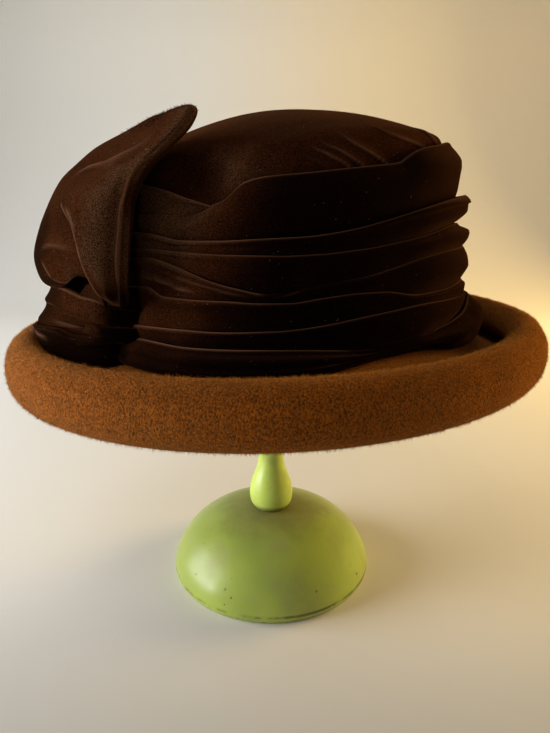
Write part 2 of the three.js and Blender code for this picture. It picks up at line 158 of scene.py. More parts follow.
def smooth_through(x, y, at):
    """Smooth line through points that never overshoots them."""
    step = np.diff(x)
    slope = np.diff(y) / step
    tangent = np.zeros(len(y))
    same = slope[:-1] * slope[1:] > 0
    first = 2 * step[1:] + step[:-1]
    second = step[1:] + 2 * step[:-1]
    with np.errstate(divide="ignore", invalid="ignore"):
        mean = (first + second) / (first / slope[:-1] + second / slope[1:])
    tangent[1:-1] = np.where(same, mean, 0)
    i = np.clip(np.searchsorted(x, at) - 1, 0, len(x) - 2)
    t = (at - x[i]) / step[i]
    return ((2 * t**3 - 3 * t**2 + 1) * y[i] + (t**3 - 2 * t**2 + t) * step[i] * tangent[i]
            + (3 * t**2 - 2 * t**3) * y[i + 1] + (t**3 - t**2) * step[i] * tangent[i + 1])


def by_azimuth(values, azimuth):
    """Reads a number, or a table of azimuth and value that closes round the hat."""
    if not isinstance(values, dict):
        return np.full(np.shape(azimuth), float(values))
    stations = np.array(sorted(values), float)
    heights = np.array([values[s] for s in sorted(values)], float)
    x = np.concatenate([stations - 360, stations, stations + 360])
    y = np.tile(heights, 3)
    return smooth_through(x, y, np.asarray(azimuth, float))


def blend_points(a, b, start, end, t):
    """Point at t on the line that is at a at start and at b at end."""
    return ((end - t) * a + (t - start) * b) / (end - start)


def curve_points(controls, steps):
    """Centripetal curve through control points, with so many steps after each of them.
    controls is (points, ..., axes)."""
    controls = np.asarray(controls, float)
    ends = np.concatenate([2 * controls[:1] - controls[1:2], controls,
                           2 * controls[-1:] - controls[-2:-1]])
    rows = []
    for k, count in enumerate(steps):
        p = ends[k:k + 4]
        t = [0.0]
        for a, b in zip(p, p[1:]):
            reach = np.sqrt(np.linalg.norm(b - a, axis=-1, keepdims=True))
            t.append(t[-1] + np.maximum(reach, 1e-3))
        for share in np.arange(count) / count:
            at = t[1] + share * (t[2] - t[1])
            a = [blend_points(p[j], p[j + 1], t[j], t[j + 1], at) for j in range(3)]
            b = [blend_points(a[j], a[j + 1], t[j], t[j + 2], at) for j in range(2)]
            rows.append(blend_points(b[0], b[1], t[1], t[2], at))
    rows.append(controls[-1])
    return np.array(rows)


def ripple(seed, points, spans):
    """Gentle repeatable unevenness over points, about -1 to 1. spans says how long its waves
    are, with one number or one for each axis."""
    random = np.random.default_rng(seed)
    axes = np.moveaxis(points / np.broadcast_to(spans, 3), -1, 0)
    total = 0
    for _ in range(7):
        wave = sum(a * f for a, f in zip(axes, random.normal(size=3)))
        total = total + np.sin(wave + random.uniform(0, 6.283))
    return total / 3.5


def unit(ways):
    """Directions brought to a length of 1."""
    return ways / np.maximum(np.linalg.norm(ways, axis=-1, keepdims=True), 1e-9)


def ease(value, low, high):
    """Soft step from 0 at low to 1 at high."""
    share = np.clip((value - low) / (high - low), 0, 1)
    return share * share * (3 - 2 * share)


def bell(distance, width):
    """1 where the distance is 0, falling softly away over the width."""
    return np.exp(-(distance / width) ** 2)


# --- The hat's oval -----------------------------------------------------------------------

def hat_sizes():
    """The hat's settings."""
    return bpy.context.scene.breton_hat_sizes


def oval_radius(azimuth, out):
    """Distance from the hat's middle to the head line, grown outwards by out."""
    sizes = hat_sizes()
    turn = np.radians(azimuth) - sizes.head_turn
    long = sizes.head_length / MM / 2 + out
    short = sizes.head_width / MM / 2 + out
    return long * short / np.hypot(short * np.cos(turn), long * np.sin(turn))


def hat_point(azimuth, out, height, shift=0.0):
    """Point at an azimuth, out from the head line, at a height."""
    turn = np.radians(azimuth)
    radius = oval_radius(azimuth, out) + shift
    return np.stack(np.broadcast_arrays(HAT_X + radius * np.cos(turn), radius * np.sin(turn),
                                        height), axis=-1)


def brim_rise(azimuth, out):
    """How far the brim is tipped up, growing towards its edge."""
    return BRIM_RISE * (out / BRIM_WIDTH) * np.cos(np.radians(azimuth - RISE_TOWARDS))


def felt_top(azimuth, out):
    """Height of the felt's upper face, inside the roll."""
    floor = np.array(BRIM_LINE[:6], float)
    above_middle = 1.6
    return np.interp(out, floor[:, 0], floor[:, 1] + above_middle) + brim_rise(azimuth, out)


def hat_azimuth(points):
    """Azimuth of points about the hat's middle."""
    return np.degrees(np.arctan2(points[:, 1], points[:, 0] - HAT_X))


def wall_out(height):
    """How far the crown wall, and the felt collar round its foot, stand off the head line."""
    return np.interp(height, [0, 178, 181, 200, 234, 248, 262],
                     [6.9, 6.9, 6.9, 0.6, -2.2, -2.8, -6])


# --- Making pieces ------------------------------------------------------------------------

def grid_faces(rows, columns, close_rows=False, close_columns=False):
    """Faces of a grid of points that are numbered row by row."""
    i = np.arange(rows if close_rows else rows - 1)[:, None]
    j = np.arange(columns if close_columns else columns - 1)[None, :]
    i2, j2 = (i + 1) % rows, (j + 1) % columns
    quads = np.stack([i * columns + j, i2 * columns + j, i2 * columns + j2,
                      i * columns + j2], axis=-1)
    return quads.reshape(-1, 4)


def smooth_faces(piece):
    """Shades every face smooth."""
    faces = piece.data.polygons
    faces.foreach_set("use_smooth", [True] * len(faces))


def new_piece(name, points, faces):
    """A smooth mesh object from points in millimetres."""
    mesh = bpy.data.meshes.new(name)
    mesh.from_pydata((np.asarray(points) * MM).tolist(), [], [list(f) for f in faces])
    piece = bpy.data.objects.new(name, mesh)
    bpy.context.scene.collection.objects.link(piece)
    smooth_faces(piece)
    return piece


def pick(piece):
    """Makes a piece the only one selected, and active."""
    bpy.ops.object.select_all(action="DESELECT")
    piece.select_set(True)
    bpy.context.view_layer.objects.active = piece


def face_outwards(piece):
    """Merges doubles and turns every face outwards."""
    pick(piece)
    bpy.ops.object.mode_set(mode="EDIT")
    bpy.ops.mesh.select_all(action="SELECT")
    bpy.ops.mesh.remove_doubles(threshold=1e-6)
    bpy.ops.mesh.normals_make_consistent(inside=False)
    bpy.ops.object.mode_set(mode="OBJECT")


def finish_piece(piece, finish, node=None):
    """Dresses a finished piece and sets it in the frame, in place of a CAD node if one is
    named."""
    piece.data.materials.clear()
    piece.data.materials.append(get_material(finish))
    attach(piece, "root")
    if node:
        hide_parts(node)


def read_vectors(items, name):
    """Reads one vector of each vertex or face."""
    flat = np.zeros(len(items) * 3)
    items.foreach_get(name, flat)
    return flat.reshape(-1, 3)


def store_mask(piece, name, values):
    """Stores a number for each vertex, for a material to read."""
    attribute = piece.data.attributes.new(name, "FLOAT", "POINT")
    attribute.data.foreach_set("value", np.asarray(values, np.float32))


def paint_light_on_pile(piece, shade):
    """Stores painted light and shade on the pile; shade(points in mm, normals) gives 0 to about 1.
    """
    vertices = piece.data.vertices
    points, normals = read_vectors(vertices, "co") / MM, read_vectors(vertices, "normal")
    store_mask(piece, "painted_light", shade(points, normals))


def select_open_edges():
    """Selects only the edges round holes, in edit mode."""
    bpy.ops.mesh.select_all(action="DESELECT")
    bpy.ops.mesh.select_mode(type="EDGE")
    bpy.ops.mesh.select_non_manifold(extend=False)


def turned_rings(name, rings, sides):
    """A circle extruded and resized ring by ring, as on a lathe, and left in edit mode.
    rings: radius, height."""
    bpy.ops.object.select_all(action="DESELECT")
    radius, height = rings[0]
    bpy.ops.mesh.primitive_circle_add(vertices=sides, radius=radius * MM, fill_type="NOTHING",
                                      location=(0, 0, height * MM))
    piece = bpy.context.object
    piece.name = piece.data.name = name
    bpy.ops.object.transform_apply(location=True, rotation=True, scale=True)
    bpy.ops.object.mode_set(mode="EDIT")
    bpy.ops.mesh.select_all(action="SELECT")
    for (r0, z0), (r1, z1) in zip(rings, rings[1:]):
        bpy.ops.mesh.extrude_edges_move(
            TRANSFORM_OT_translate={"value": (0, 0, (z1 - z0) * MM)})
        bpy.ops.transform.resize(value=(r1 / r0, r1 / r0, 1), center_override=(0, 0, z1 * MM))
    return piece


# --- Creases pressed into cloth -----------------------------------------------------------

def nearest_on_line(points, line):
    """Distance to a line of points, share of the way along it, nearest point and direction."""
    best = np.full(len(points), np.inf)
    share = np.zeros(len(points))
    near = np.zeros_like(points)
    along = np.zeros_like(points)
    lengths = np.linalg.norm(np.diff(line, axis=0), axis=1)
    total = lengths.sum()
    for k, (a, b) in enumerate(zip(line, line[1:])):
        d = b - a
        t = np.clip(((points - a) @ d) / max(d @ d, 1e-9), 0, 1)
        q = a + t[:, None] * d
        distance = np.linalg.norm(points - q, axis=1)
        closer = distance < best
        best = np.where(closer, distance, best)
        share = np.where(closer, (lengths[:k].sum() + t * lengths[k]) / total, share)
        near[closer] = q[closer]
        along[closer] = unit(d)
    return best, share, near, along


def grid_normals(points, wrap=True):
    """Outward normals of a grid of points whose rows run down and columns run round."""
    if wrap:
        across = np.roll(points, -1, axis=1) - np.roll(points, 1, axis=1)
    else:
        across = np.gradient(points, axis=1)
    return unit(np.cross(np.gradient(points, axis=0), across))


def press_creases(points, normals, creases, chart=None):
    """Raises or sinks cloth along lines. Each crease: line, height, width on its two sides,
    and how far from its ends it fades in. chart gives the points in the plane that the lines
    are drawn in. Returns the moved points and a mask that is highest on steep crests."""
    face = normals.reshape(-1, 3)
    flat = (points if chart is None else chart).reshape(-1, 3)
    up = face if chart is None else np.array([0.0, 0.0, 1.0])
    moved = points.reshape(-1, 3).copy()
    crest = np.zeros(len(flat))
    for line, height, sharp, soft, fade in creases:
        line = curve_points(line, [4] * (len(line) - 1))
        line = np.array([flat[np.argmin(((flat - p) ** 2).sum(axis=1))] for p in line])
        line = line[np.concatenate([[True], np.any(np.diff(line, axis=0) != 0, axis=1)])]
        for _ in range(2):
            line[1:-1] = (line[:-2] + 2 * line[1:-1] + line[2:]) / 4
        distance, share, near, along = nearest_on_line(flat, line)
        side = np.sum(np.cross(along, up) * (flat - near), axis=1)
        width = np.where(side > 0, sharp, soft)
        fade_in, fade_out = np.broadcast_to(fade, 2)
        ends = ease(share, 0, fade_in) * ease(1 - share, 0, fade_out)
        moved += face * (height * ends * bell(distance, width))[:, None]
        # Only a steep, narrow crease gets a painted highlight along its crest.
        steep = np.clip((1.5 * height / (sharp + soft) - 0.3) * 1.5, 0, 0.7)
        reach = 0.25 + 0.4 * min(sharp, soft)
        crest = np.maximum(crest, steep * ends * bell(distance, reach))
    return moved.reshape(points.shape), crest.reshape(points.shape[:-1])


def dimple(points, normals, centre, depth, spread):
    """Sinks cloth about one point."""
    distance = np.linalg.norm(points - np.array(centre, float), axis=-1)
    return points - normals * (depth * bell(distance, spread))[..., None]


def spread_azimuths(count, centre, width, density):
    """Azimuths once round the hat, packed closer about one side."""
    fine = np.linspace(-180, 180, 2001)
    weight = 1 + (density - 1) * bell(fine - centre, width)
    total = np.concatenate([[0], np.cumsum((weight[1:] + weight[:-1]) / 2)])
    return np.interp(np.arange(count) / count * total[-1], total, fine)


# --- Felt brim ----------------------------------------------------------------------------

def brim_profile(thickness):
    """Closed outline of the felt's section: distance from the head line, height."""
    middle = curve_points(BRIM_LINE, [6] * (len(BRIM_LINE) - 1))
    along = np.gradient(middle, axis=0)
    across = unit(np.stack([-along[:, 1], along[:, 0]], axis=1))
    top = middle + across * thickness / 2
    under = middle - across * thickness / 2
    turn = np.radians([-60, -30, 0, 30, 60])
    ends = []
    for point, way in ((middle[-1], along[-1]), (middle[0], -along[0])):
        way = unit(way)
        side = np.array([-way[1], way[0]])
        ends.append([point + thickness / 2 * (np.cos(a) * way - np.sin(a) * side) for a in turn])
    return np.concatenate([top, ends[0], under[::-1], ends[1]])


def on_oval(piece):
    """Eases a round brim onto the head's oval, tipped and a little uneven as steamed felt
    is."""
    points = read_vectors(piece.data.vertices, "co") / MM
    out = np.hypot(points[:, 0], points[:, 1]) - LATHE_RADIUS
    azimuth = np.degrees(np.arctan2(points[:, 1], points[:, 0]))
    reach = out / BRIM_WIDTH
    shift = BRIM_SHIFT * reach * np.cos(np.radians(azimuth))
    moved = hat_point(azimuth, out, points[:, 2] + brim_rise(azimuth, out), shift)
    uneven = ripple(3, moved, (45, 45, 30)) * 0.5 + ripple(5, moved, (12, 12, 10)) * 0.12
    away = np.stack([np.cos(np.radians(azimuth)), np.sin(np.radians(azimuth)),
                     np.full(len(out), 0.5)], axis=1)
    moved += away * (uneven * np.clip(reach * 2, 0, 1))[:, None]
    piece.data.vertices.foreach_set("co", (moved * MM).reshape(-1))
    piece.data.update()


class HAT_OT_brim(Operator):
    """Felt brim, turned as a round section and eased onto the head's oval"""
    bl_idname = "hat.brim"
    bl_label = "Brim"

    def execute(self, context):
        section = brim_profile(hat_sizes().felt_thickness / MM)
        rings = [(LATHE_RADIUS + out, height) for out, height in section]
        brim = turned_rings("brim_felt", rings, 256)
        select_open_edges()
        bpy.ops.mesh.bridge_edge_loops()
        bpy.ops.object.mode_set(mode="OBJECT")
        face_outwards(brim)
        on_oval(brim)
        smooth_faces(brim)
        finish_piece(brim, "brown felt", "brim")
        return {"FINISHED"}


def scatter_on(piece, count, seed, keep):
    """Random points and normals over a piece's faces, where keep says so, and the source of
    more random numbers."""
    mesh = piece.data
    centres = read_vectors(mesh.polygons, "center") / MM
    normals = read_vectors(mesh.polygons, "normal")
    areas = np.zeros(len(mesh.polygons))
    mesh.polygons.foreach_get("area", areas)
    weight = areas * keep(centres, normals)
    random = np.random.default_rng(seed)
    chosen = random.choice(len(areas), count, p=weight / weight.sum())
    corners = [tuple(mesh.polygons[i].vertices) for i in chosen.tolist()]
    corners = np.array([(*face, face[-1])[:4] for face in corners])
    a, b = random.random((2, count, 1))
    q = (read_vectors(mesh.vertices, "co") / MM)[corners]
    points = (q[:, 0] * (1 - a) + q[:, 1] * a) * (1 - b) + (q[:, 3] * (1 - a) + q[:, 2] * a) * b
    return points, normals[chosen], random


def spikes(name, roots, ways, lengths, width):
    """Fine tapering hairs, three faces each, rooted in a surface."""
    helper = np.where(np.abs(ways[:, 2:3]) < 0.8, [[0.0, 0.0, 1.0]], [[1.0, 0.0, 0.0]])
    side = unit(np.cross(ways, helper))
    other = np.cross(ways, side)
    tips = roots + ways * lengths[:, None]
    base = [roots + (np.cos(turn) * side + np.sin(turn) * other) * width
            for turn in np.radians([0, 120, 240])]
    points = np.stack([*base, tips], axis=1).reshape(-1, 3)
    first = np.arange(len(roots))[:, None] * 4
    faces = np.concatenate([first + [0, 1, 3], first + [1, 2, 3], first + [2, 0, 3]])
    return new_piece(name, points, faces)


def on_roll(points, normals):
    """Nap grows on the outside of the roll, thinner at the back."""
    return (np.hypot(points[:, 0] - HAT_X, points[:, 1]) > 128) * (1 - 0.4 * (points[:, 1] > 20))


def on_lip(points, normals):
    """Nap grows on the lip, where the roll turns in."""
    return (points[:, 2] > 163) * (np.hypot(points[:, 0] - HAT_X, points[:, 1]) > 112)


# Layers of nap: share of the hairs, seed of the random draws, and where it grows.
NAP_LAYERS = {"nap_roll": (1.0, 11, on_roll), "nap_under_roll": (1.0, 13, on_roll),
              "nap_lip": (0.9, 12, on_lip)}
NAP_ROOT = 0.08            # how deep a hair is rooted
NAP_WIDTH = 0.07           # half width of a hair at its root
NAP_DROOP = np.array([0, 0, -0.25])


def grow_nap(name, count, length, seed, keep):
    """Hairs over the brim that lean in clumps and droop a little."""
    roots, normals, random = scatter_on(bpy.data.objects["brim_felt"], count, seed, keep)
    clump = ripple(seed, roots, 1.1)
    lean = np.stack([ripple(seed + k, roots, 2.2) for k in (1, 2, 3)], axis=1)
    ways = normals * 0.75 + lean * 0.5 + random.normal(size=normals.shape) * 0.28
    ways = unit(ways + NAP_DROOP)
    upright = np.clip(np.sum(ways * normals, axis=1), 0.15, 1)
    lengths = length * random.uniform(0.45, 1.1, count) * (1 + 0.35 * clump) * upright ** 0.3
    return spikes(name, roots - normals * NAP_ROOT, ways, lengths, NAP_WIDTH)


class HAT_OT_nap(Operator):
    """Brushed nap that stands off the felt"""
    bl_idname = "hat.nap"
    bl_label = "Felt nap"

    def execute(self, context):
        sizes = hat_sizes()
        for name, (share, seed, keep) in NAP_LAYERS.items():
            nap = grow_nap(name, int(sizes.nap_hairs * share), sizes.nap_length / MM, seed, keep)
            finish_piece(nap, "felt nap")
        return {"FINISHED"}


# --- Velvet crown -------------------------------------------------------------------------

# The crown is fuller towards two azimuths: how much, towards where and over what spread.
FRONT_FULL = (2.4, -22, 34)
RIGHT_SWELL = (7.5, -9, 30)
# Down the crown: shares of the way from the peak to the tip's rim; then, round the shoulder,
# distance from the head line, drop below the rim and share of the right side's swell; then
# distance and height down the wall.
TIP_SHARES = (0.03, 0.2, 0.4, 0.6, 0.78, 0.9, 1)
SHOULDER = ((-10.3, 2.3, 0.9), (-7.7, 4.9, 0.7), (-5.5, 8.8, 0.35), (-3.8, 14.5, 0))
WALL = ((-2.2, 234), (0.6, 200), (2, CROWN_FOOT))


def crown_skin(azimuth, inset, steps):
    """Grid of the crown's outer or inner face, from near the peak down to the foot."""
    full, swell = (amount * bell(azimuth - towards, spread)
                   for amount, towards, spread in (FRONT_FULL, RIGHT_SWELL))

    def tip_height(x, y):
        """Height of the domed tip."""
        return PEAK[2] - inset - DOME_CURVE * ((x - PEAK[0]) ** 2 + (y - PEAK[1]) ** 2)

    rim = hat_point(azimuth, SHOULDER_OUT - inset + full + swell, 0)
    controls = []
    for share in TIP_SHARES:
        x = PEAK[0] + (rim[:, 0] - PEAK[0]) * share
        y = PEAK[1] + (rim[:, 1] - PEAK[1]) * share
        controls.append(np.stack([x, y, tip_height(x, y) + 0.6 * swell * share ** 2], axis=1))
    rim_height = tip_height(rim[:, 0], rim[:, 1]) + full * 0.5 + swell * 0.6
    for out, drop, part in SHOULDER:
        controls.append(hat_point(azimuth, out - inset + full * 0.4 + swell * part,
                                  rim_height - drop))
    for out, height in WALL:
        controls.append(hat_point(azimuth, out - inset, height))
    return curve_points(controls, steps)


# Each crease: line, height, width on its two sides, share of its length it fades in.
CROWN_CREASES = [
    ([(42, -54, 273.5), (50.5, -58.8, 270), (56, -59.5, 267.5), (62.3, -56.8, 265.2),
      (69, -49.6, 263.4), (76, -42, 261.5)], 1.1, 0.6, 2.0, (0.6, 0.06)),
    ([(27, -68, 269), (33.5, -73, 265), (38, -73.7, 262), (43.2, -72.4, 258.8),
      (48.3, -69.3, 255.6), (55, -64.5, 252)], 1.2, 0.6, 2.0, (0.6, 0.06)),
    ([(20, -77, 264), (25.5, -79.2, 260.7), (30, -78.4, 258.8), (34.6, -77, 256),
      (39, -74.8, 253.3), (44, -71.5, 250)], 1.0, 0.6, 1.8, (0.6, 0.06)),
    ([(16, -80, 260.5), (21.1, -81, 258.1), (25.6, -80.3, 256.1), (30.1, -79.1, 253.8),
      (36.5, -75.8, 250)], 0.9, 0.6, 1.6, (0.6, 0.06)),
    ([(14, -82.4, 256.5), (20.3, -81.6, 253.1), (23.9, -80.8, 251.2), (28, -79.4, 248.5)],
     0.5, 0.6, 1.5, (0.6, 0.06)),
    ([(66, -36, 274.5), (76, -38, 270.5), (82, -35, 267), (87, -28, 263)],
     1.1, 0.6, 2.0, (0.6, 0.06)),
    ([(70, 5, 275), (80, 8, 270), (88, 14, 264), (92, 20, 257)], 1.4, 1.4, 4.5, 0.4),
    ([(50, 50, 275), (56, 62, 268), (58, 70, 260), (56, 76, 252)], 1.3, 1.4, 5, 0.4),
    ([(5, 62, 274), (0, 72, 266), (-8, 78, 258), (-14, 78, 250)], 1.1, 1.4, 5, 0.4),
    ([(-38, 40, 272), (-50, 46, 263), (-60, 46, 255), (-66, 44, 247)], 1.1, 1.4, 5, 0.4),
    ([(-19, -85, 238), (-15.9, -85, 244.7), (-12.4, -85.8, 249.6), (-8, -85.5, 254),
      (-3, -83.2, 258.2), (5, -78, 262)], 1.6, 7, 6, 0.5),
    ([(-52, -70, 243), (-45, -71, 252), (-37, -66, 261)], 1.2, 6, 8, 0.5),
]
CROWN_DENT = ((-28.5, -79.5, 246), 8.5, 10)    # where, how deep and how wide
# Steps down each face between the points of its section.
OUTER_STEPS = [3, 3, 3, 6, 6, 6, 5, 6, 7, 8, 12, 6, 4]
INNER_STEPS = [1, 1, 1, 2, 2, 2, 1, 1, 1, 1, 2, 1, 1]
POLE_DROP = 0.02           # how far the pole lies below the peak


def crown_painted_light(points, normals):
    """Painted light on the pile: off the flat of the tip, facing left, and over the front hump."""
    sloping = ease(-normals[:, 2], -0.97, -0.75)
    left = ease(normals @ [-0.9, -0.3, 0.2], 0.2, 0.9)
    # A painted highlight over the front hump.
    hump = bell(points[:, 0] + 10, 15) * bell(points[:, 2] - 246, 11)
    return 0.16 + 0.26 * sloping + 0.3 * left + 0.3 * hump


class HAT_OT_crown(Operator):
    """Velvet crown: domed tip, soft shoulder and wall, with the pleats that run to its edge"""
    bl_idname = "hat.crown"
    bl_label = "Crown"

    def execute(self, context):
        thickness = hat_sizes().velvet_thickness / MM
        azimuth = spread_azimuths(460, centre=-72, width=48, density=3.2)
        outer = crown_skin(azimuth, 0, OUTER_STEPS)
        normals = grid_normals(outer)
        outer = dimple(outer, normals, *CROWN_DENT)
        outer, crest = press_creases(outer, normals, CROWN_CREASES)
        outer = outer + normals * (ripple(21, outer, 17) * 0.22)[..., None]
        inner = crown_skin(azimuth, thickness, INNER_STEPS)
        inner = dimple(inner, grid_normals(inner), *CROWN_DENT)
        grid = np.concatenate([outer, inner[::-1]])
        rows, columns = grid.shape[:2]
        poles = [PEAK - np.array([0, 0, depth + POLE_DROP]) for depth in (0, thickness)]
        points = np.concatenate([grid.reshape(-1, 3), poles])
        faces = grid_faces(rows, columns, close_columns=True).tolist()
        pairs = [(a, (a + 1) % columns) for a in range(columns)]
        outer_pole, inner_pole = rows * columns, rows * columns + 1
        last = (rows - 1) * columns
        faces += [(outer_pole, b, a) for a, b in pairs]
        faces += [(inner_pole, last + a, last + b) for a, b in pairs]
        crown = new_piece("crown_velvet", points, faces)
        # Painted highlight along the crests of the pleats.
        mask = np.zeros(len(points))
        mask[:crest.size] = crest.reshape(-1)
        store_mask(crown, "crest_highlight", mask)
        face_outwards(crown)
        # Painted light and shade on the pile.
        paint_light_on_pile(crown, crown_painted_light)
        finish_piece(crown, "dark velvet", "crown")
        return {"FINISHED"}


# --- Gathered band ------------------------------------------------------------------------

# Creases in the band: line of azimuth and height, height raised, width on the two sides, fade.
BAND_CREASES = [
    ([(-131, 203.4), (-122, 201.2), (-116, 198.6), (-111, 196.2)], 0.9, 1.0, 0.8, 0.3),
    ([(-127, 208.6), (-116, 203.2), (-105, 198.2), (-96, 195.6)], 0.6, 0.8, 0.9, 0.3),
    ([(-128, 226), (-112, 224.5), (-96, 226)], 0.5, 5, 3, 0.4),
    ([(-60, 240), (-40, 246), (-24, 252)], 0.6, 6, 4, 0.4),
    ([(-84, 200.5), (-76, 199), (-64, 201), (-54, 202)], 0.5, 2, 3, 0.4),
    ([(-28, 206), (-12, 204), (10, 206)], 0.7, 3, 2, 0.4),
    ([(20, 250), (50, 243), (80, 244)], 1.4, 5, 3, 0.4),
    ([(70, 228), (100, 222), (128, 224)], 1.2, 3, 2, 0.4),
    ([(120, 246), (150, 238), (178, 240)], 1.4, 5, 3, 0.4),
    ([(40, 202), (72, 198), (98, 201)], 1.1, 3, 2, 0.4),
    ([(110, 199), (138, 196), (166, 199)], 1.1, 3, 2, 0.4),
    ([(10, 192), (34, 189), (60, 190)], 0.9, 3, 2, 0.4),
    ([(130, 176), (160, 171), (190, 173)], 0.9, 4, 3, 0.4),
]
# Painted light and shade on the pile and a painted crest highlight, by azimuth; pile light by
# height.
BAND_PAINTED_LIGHT = {-133: 0, -130.5: 0.2, -128: 1.7, -124: 1.2, -116: 1.1, -110: 0.65, -104: 0.35,
             -96: 0.14, -88: 0.03, -50: 0.03, -30: 0.1, -12: 0.22, 40: 0.5, 100: 0.4, 170: 0.7,
             205: 0.9, 218: 0.4}
BAND_HIGHLIGHT = {-130: 1, -105: 1, -90: 0.5, -60: 0.4, -25: 0.4, 60: 0.6, 200: 0.8}
PAINTED_LIGHT_HEIGHTS = ([160, 172, 182, 190, 202, 216, 240], [0.08, 0.15, 0.35, 0.4, 0.8, 1.1, 1.2])
# Dents in the band: azimuth, distance from the head line and height; depth and spread.
BAND_DENTS = (((-87.5, 9.5, 203.5), 2.6, 6.5), ((-104, 4, 240), 1.2, 9))
ARC_RADIUS = 95.0          # the band is unrolled at this radius to draw its creases
FOLDS_OFF = 1.7            # the points of the folds keep this far off the crown's wall
BAND_OFF = 1.5             # and the curve through them this far
BACKING_OFF = 0.75         # the band's inner face stands this far off it
BELLY_FLAT = 0.15          # how much flatter a belly is, so that the curve doesn't bulge


def band_outline(azimuth):
    """Control points down the band at each azimuth, how much of a crest each one is, the steps
    of the curve after each, and the heights of the hem and of the top edge."""
    full = by_azimuth(FULLNESS, azimuth)
    hem_out = by_azimuth(HEM_OUT, azimuth)
    hem = felt_top(azimuth, hem_out) + by_azimuth(HEM_LIFT, azimuth)
    tops = [by_azimuth(fold["height"], azimuth) for fold in FOLDS] + [hem]
    marks = [by_azimuth(fold["mark"], azimuth) for fold in FOLDS]
    drops = [np.maximum(top - below, FOLD_HEIGHT) for top, below in zip(tops, tops[1:])]
    outline, crests, steps = [], [], []

    def off(fold, part):
        """How far a part of a fold stands off the head line."""
        return FOLD_BASE + by_azimuth(fold[part], azimuth) * full

    def root_height(i):
        """Height of the groove that a fold's edge hangs over."""
        return np.minimum(tops[i] - 1.9, tops[i - 1] - 3)

    def place(out, height, crest, count):
        """Adds a control point, and the steps from it to the next."""
        out = np.maximum(out, wall_out(height) + FOLDS_OFF)
        outline.append(np.stack(np.broadcast_arrays(out, height), axis=-1))
        crests.append(np.broadcast_to(crest, azimuth.shape))
        steps.append(count)

    bellies = [(off(fold, "belly"), top - BELLY_DOWN * drop)
               for fold, top, drop in zip(FOLDS, tops, drops)]
    for i, fold in enumerate(FOLDS):
        top = tops[i]
        crest, lip = off(fold, "crest"), by_azimuth(fold["lip"], azimuth)
        belly, belly_height = bellies[i]
        if i == 0:
            place(crest - lip - 0.6, top - 3, 0, 2)
            place(crest - lip * 0.7, top - lip * 0.4, 0.5, 3)
            place(crest, top, 1.0, 3)
            place(crest + lip * 0.8, top - lip, 0.3, 6)
        else:
            # Where the mark fades, the edge melts into the slope from one belly to the next.
            # laid: distance out, height, how much of a crest, steps.
            above, above_height = bellies[i - 1]
            laid = [(off(fold, "valley"), root_height(i), 0, 2),
                    (crest - lip, top - lip * 0.5, 0.3, 3),
                    (crest - lip * 0.1, top, 1.0, 3),
                    (crest + lip * 0.75, top - lip * 0.95, 0.3, 6)]
            for (out, height, edge, count), rise in zip(laid, (1.8, 0.6, -0.6, -1.8)):
                share = np.clip((above_height - top - rise) / (above_height - belly_height), 0, 1)
                plain = above + (belly - above) * share
                place(plain + (out - plain) * marks[i],
                      top + rise + (height - top - rise) * marks[i], edge * marks[i], count)
        place(belly - BELLY_FLAT, belly_height + 0.1 * drops[i], 0, 2)
        place(belly - BELLY_FLAT, belly_height - 0.16 * drops[i], 0, 4)
        if i + 1 < len(FOLDS):
            valley = off(FOLDS[i + 1], "valley")
            low = belly_height + (root_height(i + 1) - belly_height) * 0.72
            plain = belly + (bellies[i + 1][0] - belly) * 0.3
            place(plain + (belly + (valley - belly) * 0.5 - plain) * marks[i + 1], low, 0, 3)
    place(hem_out + by_azimuth(HEM_FULL, azimuth), hem + 3.6, 0, 3)
    place(hem_out + 0.4, hem + 0.7, 0.2, 3)
    place(hem_out - 1.0, hem, 0.0, 0)
    return np.array(outline), np.array(crests), steps[:-1], hem, tops[0]


def band_face(azimuth, section):
    """The band's outer face with its dents and creases, and a mask of the creases' crests."""
    out, height = section[..., 0], section[..., 1]
    outer = hat_point(azimuth, np.maximum(out, wall_out(height) + BAND_OFF), height)
    normals = grid_normals(outer)
    arc = np.broadcast_to(np.radians(azimuth) * ARC_RADIUS, height.shape)
    chart = np.stack([arc, height, np.zeros_like(height)], axis=-1)
    creases = [([(math.radians(a) * ARC_RADIUS, z, 0) for a, z in line], *rest)
               for line, *rest in BAND_CREASES]
    for centre, depth, spread in BAND_DENTS:
        outer = dimple(outer, normals, hat_point(*centre), depth, spread)
    outer, folded = press_creases(outer, normals, creases, chart)
    uneven = ripple(31, outer, (26, 26, 5)) * 0.32 + ripple(32, outer, (9, 9, 8)) * 0.1
    return outer + normals * uneven[..., None], folded


def band_painted_light(points, normals):
    """Painted light on the pile at the left end, higher up and where it faces up; painted shade low
    down.
    """
    facing_up = 0.75 + 0.4 * ease(normals[:, 2], -0.3, 0.6)
    return (by_azimuth(BAND_PAINTED_LIGHT, hat_azimuth(points)) * facing_up
            * np.interp(points[:, 2], *PAINTED_LIGHT_HEIGHTS))


